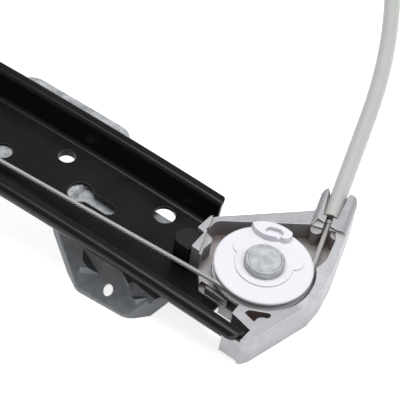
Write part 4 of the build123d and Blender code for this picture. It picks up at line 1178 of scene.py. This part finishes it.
@dataclass
class CableUnit:
    """The cable with its twisted strands, its conduits and their ends."""

    strand_mm: float = 0.32
    ring_mm: float = 0.70
    strands: int = 6
    sides: int = 6
    steps: int = 12
    arc_top_mm: Place = (91.576, -206.6, 29.615)
    arc_centre_mm: Place = (0.0, -206.6, -1609.078)
    arc_lays: int = 15
    socket_run: StrandedRun = StrandedRun(
        "cable_strands", (278.801, -147.631, 17.610), (291.233, -181.351, 15.517), 3
    )
    drop_run: StrandedRun = StrandedRun(
        "strands_drop", (273.960, -206.6, 18.425), (265.072, -206.6, 19.857), 1
    )
    rail_run: StrandedRun = StrandedRun(
        "strands_rail", (265.072, -206.6, 19.857), (91.576, -206.6, 29.615), 14
    )
    liner: Fitting = Fitting(
        "conduit_liners", 2.9, 40, (0.25, 0.5, 0.45, 0.3, -0.3), Slot.BLACK_PLASTIC
    )
    ferrule: Fitting = Fitting(
        "cable_ferrules", 1.32, 32, (2.8, 0.08, 0.12, 0.12, 0.05), Slot.STEEL
    )
    strand_smooth_deg: float = 50.0
    fitting_smooth_deg: float = 30.0

    def build(self, finishes: Finishes) -> None:
        """Dress the cable and conduits, and lay the strands and end fittings.

        Args:
            finishes: The regulator's finishes.
        """
        dress(["regulator_cable"], finishes.core)
        dress(["drum_leads", "drum_windings"], finishes.strand)
        dress(["lower_conduit", "upper_conduit"], finishes.sheath)
        dress(["lower_conduit_cap", "upper_conduit_cap"], finishes.black_plastic)
        self.lay_strands(finishes.strand)
        self.fit(self.liner, finishes.liner)
        self.fit(self.ferrule, finishes.bright_steel)

    def one_lay(self, name: str, length_mm: float) -> Piece:
        """Twist the strands once round the X axis.

        Args:
            name: The piece's name.
            length_mm: Length of the lay.

        Returns:
            One lay of the strands, in object mode.
        """
        piece = start_piece(name, self.strand_mm, self.sides, False)
        shift(0.0, 0.0, self.ring_mm)
        step = (length_mm / self.steps * MM, 0.0, 0.0)
        for _ in range(self.steps):
            bpy.ops.mesh.extrude_edges_move(TRANSFORM_OT_translate={"value": step})
            self.turn_round(self.steps)
        bpy.ops.mesh.select_all(action="SELECT")
        for _ in range(self.strands - 1):
            bpy.ops.mesh.duplicate()
            self.turn_round(self.strands)
        bpy.ops.object.mode_set(mode="OBJECT")
        return piece

    def turn_round(self, parts: int) -> None:
        """Turn what is selected about the X axis by one part of a whole turn."""
        part = math.tau / parts
        bpy.ops.transform.rotate(value=part, orient_axis="X", center_override=ORIGIN)

    def straight(self, run: StrandedRun) -> Piece:
        """Lay the strands along a straight run.

        Args:
            run: The run.

        Returns:
            The strands, in object mode.
        """
        piece = self.one_lay(run.name, run.lay_mm())
        set_down(piece, run.start(), run.way())
        repeat(piece, run.lays, Matrix.Translation(run.way() / run.lays))
        return piece

    def along_arc(self) -> Piece:
        """Lay the strands along the rail's arc, turned on a little with each lay.

        Returns:
            The strands, in object mode.
        """
        top, centre = Vector(self.arc_top_mm), Vector(self.arc_centre_mm)
        out = top - centre
        half = math.atan2(out.x, out.z)
        turn = Matrix.Rotation(-2.0 * half / self.arc_lays, 4, "Y")
        hub = Matrix.Translation(centre * MM)
        step = hub @ turn @ hub.inverted()
        chord = step @ (top * MM) - top * MM
        piece = self.one_lay("strands_arc", chord.length / MM)
        set_down(piece, top * MM, chord)
        repeat(piece, self.arc_lays, step)
        return piece

    def lay_strands(self, material: Material) -> None:
        """Lay the outer strands over the whole of the cable's open run.

        Args:
            material: The strands' finish.
        """
        runs = (self.socket_run, self.drop_run, self.rail_run)
        piece = join([self.straight(run) for run in runs])
        mirror_ends(piece)
        join([piece, self.along_arc()])
        close_and_smooth(piece, self.strand_smooth_deg)
        attach(piece, material)

    def fit(self, fitting: Fitting, material: Material) -> None:
        """Turn a fitting and put one at each conduit's open end.

        Args:
            fitting: What to make.
            material: Its finish.
        """
        piece = start_piece(fitting.name, fitting.radius_mm, fitting.sides, True)
        for number, amount in enumerate(fitting.profile_mm):
            if number % 2:
                shrink(amount)
            else:
                push(amount)
        bpy.ops.object.mode_set(mode="OBJECT")
        set_down(piece, self.socket_run.start(), self.socket_run.way())
        mirror_ends(piece)
        close_and_smooth(piece, self.fitting_smooth_deg)
        attach(piece, material)


@dataclass
class DrumUnit:
    """The drum, its housing, cover and screws."""

    shells: tuple[str, ...] = ("drum_housing", "drum_cover")
    drum: tuple[str, ...] = ("cable_drum",)
    screws: tuple[str, ...] = ("cover_screws",)

    def build(self, finishes: Finishes) -> None:
        """Dress the drum unit.

        Args:
            finishes: The regulator's finishes.
        """
        dress(self.shells, finishes.black_plastic)
        dress(self.drum, finishes.glide_plastic)
        dress(self.screws, finishes.bright_steel)


@dataclass
class CarriageUnit:
    """The carriage with its glides and the glass clamp."""

    slides: tuple[str, ...] = ("far_glides", "near_glides", "cable_anchor")
    plate: tuple[str, ...] = ("carriage_plate",)
    end_blocks: tuple[str, ...] = ("cable_end_blocks",)
    fasteners: tuple[str, ...] = ("carriage_rivets", "glass_clamp_bolt")
    clamp: tuple[str, ...] = ("glass_clamp_base", "glass_clamp_jaw")
    pads: tuple[str, ...] = ("glass_clamp_pads",)

    def build(self, finishes: Finishes) -> None:
        """Dress the carriage.

        Args:
            finishes: The regulator's finishes.
        """
        dress(self.slides, finishes.glide_plastic)
        dress(self.plate, finishes.carriage_zinc)
        dress(self.end_blocks, finishes.cast_alloy)
        dress(self.fasteners, finishes.bright_steel)
        dress(self.clamp, finishes.black_plastic)
        dress(self.pads, finishes.rubber)


@dataclass(frozen=True)
class SoftBox:
    """A square lamp: where it hangs and what it points at, its side, and its watts."""

    name: str
    place: Place
    aim: Place
    side: float
    watts: float

    def hang(self) -> None:
        """Hang the lamp and point it."""
        data = bpy.data.lights.new(self.name, "AREA")
        data.shape = "SQUARE"
        data.size = self.side
        data.energy = self.watts
        lamp = bpy.data.objects.new(self.name, data)
        bpy.context.scene.collection.objects.link(lamp)
        lamp.location = self.place
        way = Vector(self.aim) - Vector(self.place)
        lamp.rotation_mode = "QUATERNION"
        lamp.rotation_quaternion = way.to_track_quat("-Z", "Y")


@dataclass
class Studio:
    """The white table, the light tent, the lamps and the camera."""

    floor_half: float = 4.0
    floor_gap: float = 0.1
    floor_colour: Colour = (0.9, 0.9, 0.9)
    floor_glow: float = 0.76
    tent_strength: float = 0.4
    lamps: tuple[SoftBox, ...] = (
        SoftBox("key", (0.35, -0.05, 1.9), (0.25, -0.2, 0.0), 1.3, 33.0),
        SoftBox("fill", (1.9, 0.6, 1.2), (0.25, -0.2, 0.0), 1.0, 8.0),
    )
    camera_place: Place = (1.0429, -1.2737, 1.30012)
    camera_forward: Place = (-0.4335, 0.5880, -0.6829)
    camera_up: Place = (-0.4052, 0.5497, 0.7305)
    focal_pixels: float = 4566.3
    frame_pixels: int = 400
    sensor_mm: float = 36.0
    nearest: float = 0.05
    furthest: float = 20.0

    def build(self) -> None:
        """Set up floor, tent, lamps and camera."""
        self.floor()
        self.tent()
        for lamp in self.lamps:
            lamp.hang()
        self.camera()
        bpy.context.scene.view_settings.view_transform = "Standard"

    def floor(self) -> None:
        """Lay a white table that keeps the shadow and looks pure white elsewhere."""
        bpy.ops.object.select_all(action="DESELECT")
        level = CAD_BOX[0][2] - self.floor_gap * MM
        bpy.ops.mesh.primitive_plane_add(size=2.0 * self.floor_half, location=(0.0, 0.0, level))
        floor = bpy.context.object
        floor.name = "white_table"
        bpy.ops.object.transform_apply(location=True, rotation=True, scale=True)
        g = Graph(bpy.data.materials.new("white_table"))
        rays = ("Is Camera Ray", "Is Glossy Ray", "Is Transmission Ray")
        seen, mirrored, through = (g.node("ShaderNodeLightPath", output=ray) for ray in rays)
        shown = (seen + mirrored + through).clamped()
        cloth = g.node("ShaderNodeBsdfDiffuse", {}, {"Color": self.floor_colour})
        glow = g.node("ShaderNodeEmission", {}, {"Color": WHITE, "Strength": self.floor_glow})
        both = g.node("ShaderNodeAddShader", {}, [cloth, glow])
        surface = g.node("ShaderNodeMixShader", {}, [shown, cloth, both])
        g.node("ShaderNodeOutputMaterial", {}, {"Surface": surface})
        floor.data.materials.append(g.owner)
        LOG.info("laid %s", floor.name)

    def tent(self) -> None:
        """Fill the world with even light, pure white where the camera sees it."""
        world = bpy.data.worlds.new("light_tent")
        bpy.context.scene.world = world
        g = Graph(world)
        seen = g.node("ShaderNodeLightPath", output="Is Camera Ray")
        strengths = (self.tent_strength, 1.0)
        plain, white = (
            g.node("ShaderNodeBackground", {}, {"Color": WHITE, "Strength": strength})
            for strength in strengths
        )
        surface = g.node("ShaderNodeMixShader", {}, [seen, plain, white])
        g.node("ShaderNodeOutputWorld", {}, {"Surface": surface})

    def camera(self) -> None:
        """Stand the camera in its fitted place."""
        data = bpy.data.cameras.new("camera")
        data.sensor_width = self.sensor_mm
        data.lens = self.focal_pixels / self.frame_pixels * self.sensor_mm
        data.clip_start, data.clip_end = self.nearest, self.furthest
        camera = bpy.data.objects.new("camera", data)
        bpy.context.scene.collection.objects.link(camera)
        forward = Vector(self.camera_forward).normalized()
        right = forward.cross(Vector(self.camera_up)).normalized()
        up = right.cross(forward)
        turn = Matrix((right, up, -forward)).transposed().to_4x4()
        camera.matrix_world = Matrix.Translation(Vector(self.camera_place)) @ turn
        bpy.context.scene.camera = camera


def main() -> None:
    """Build every sub-assembly in order."""
    logging.basicConfig(level=logging.INFO)
    finishes = Finishes()
    rail = RailUnit()
    ends = [PulleyUnit(end, rail) for end in End]
    units = [rail, *ends, CableUnit(), DrumUnit(), CarriageUnit()]
    for unit in units:
        unit.build(finishes)
        LOG.info("built %s", type(unit).__name__)
    Studio().build()


if __name__ == "__main__":
    main()
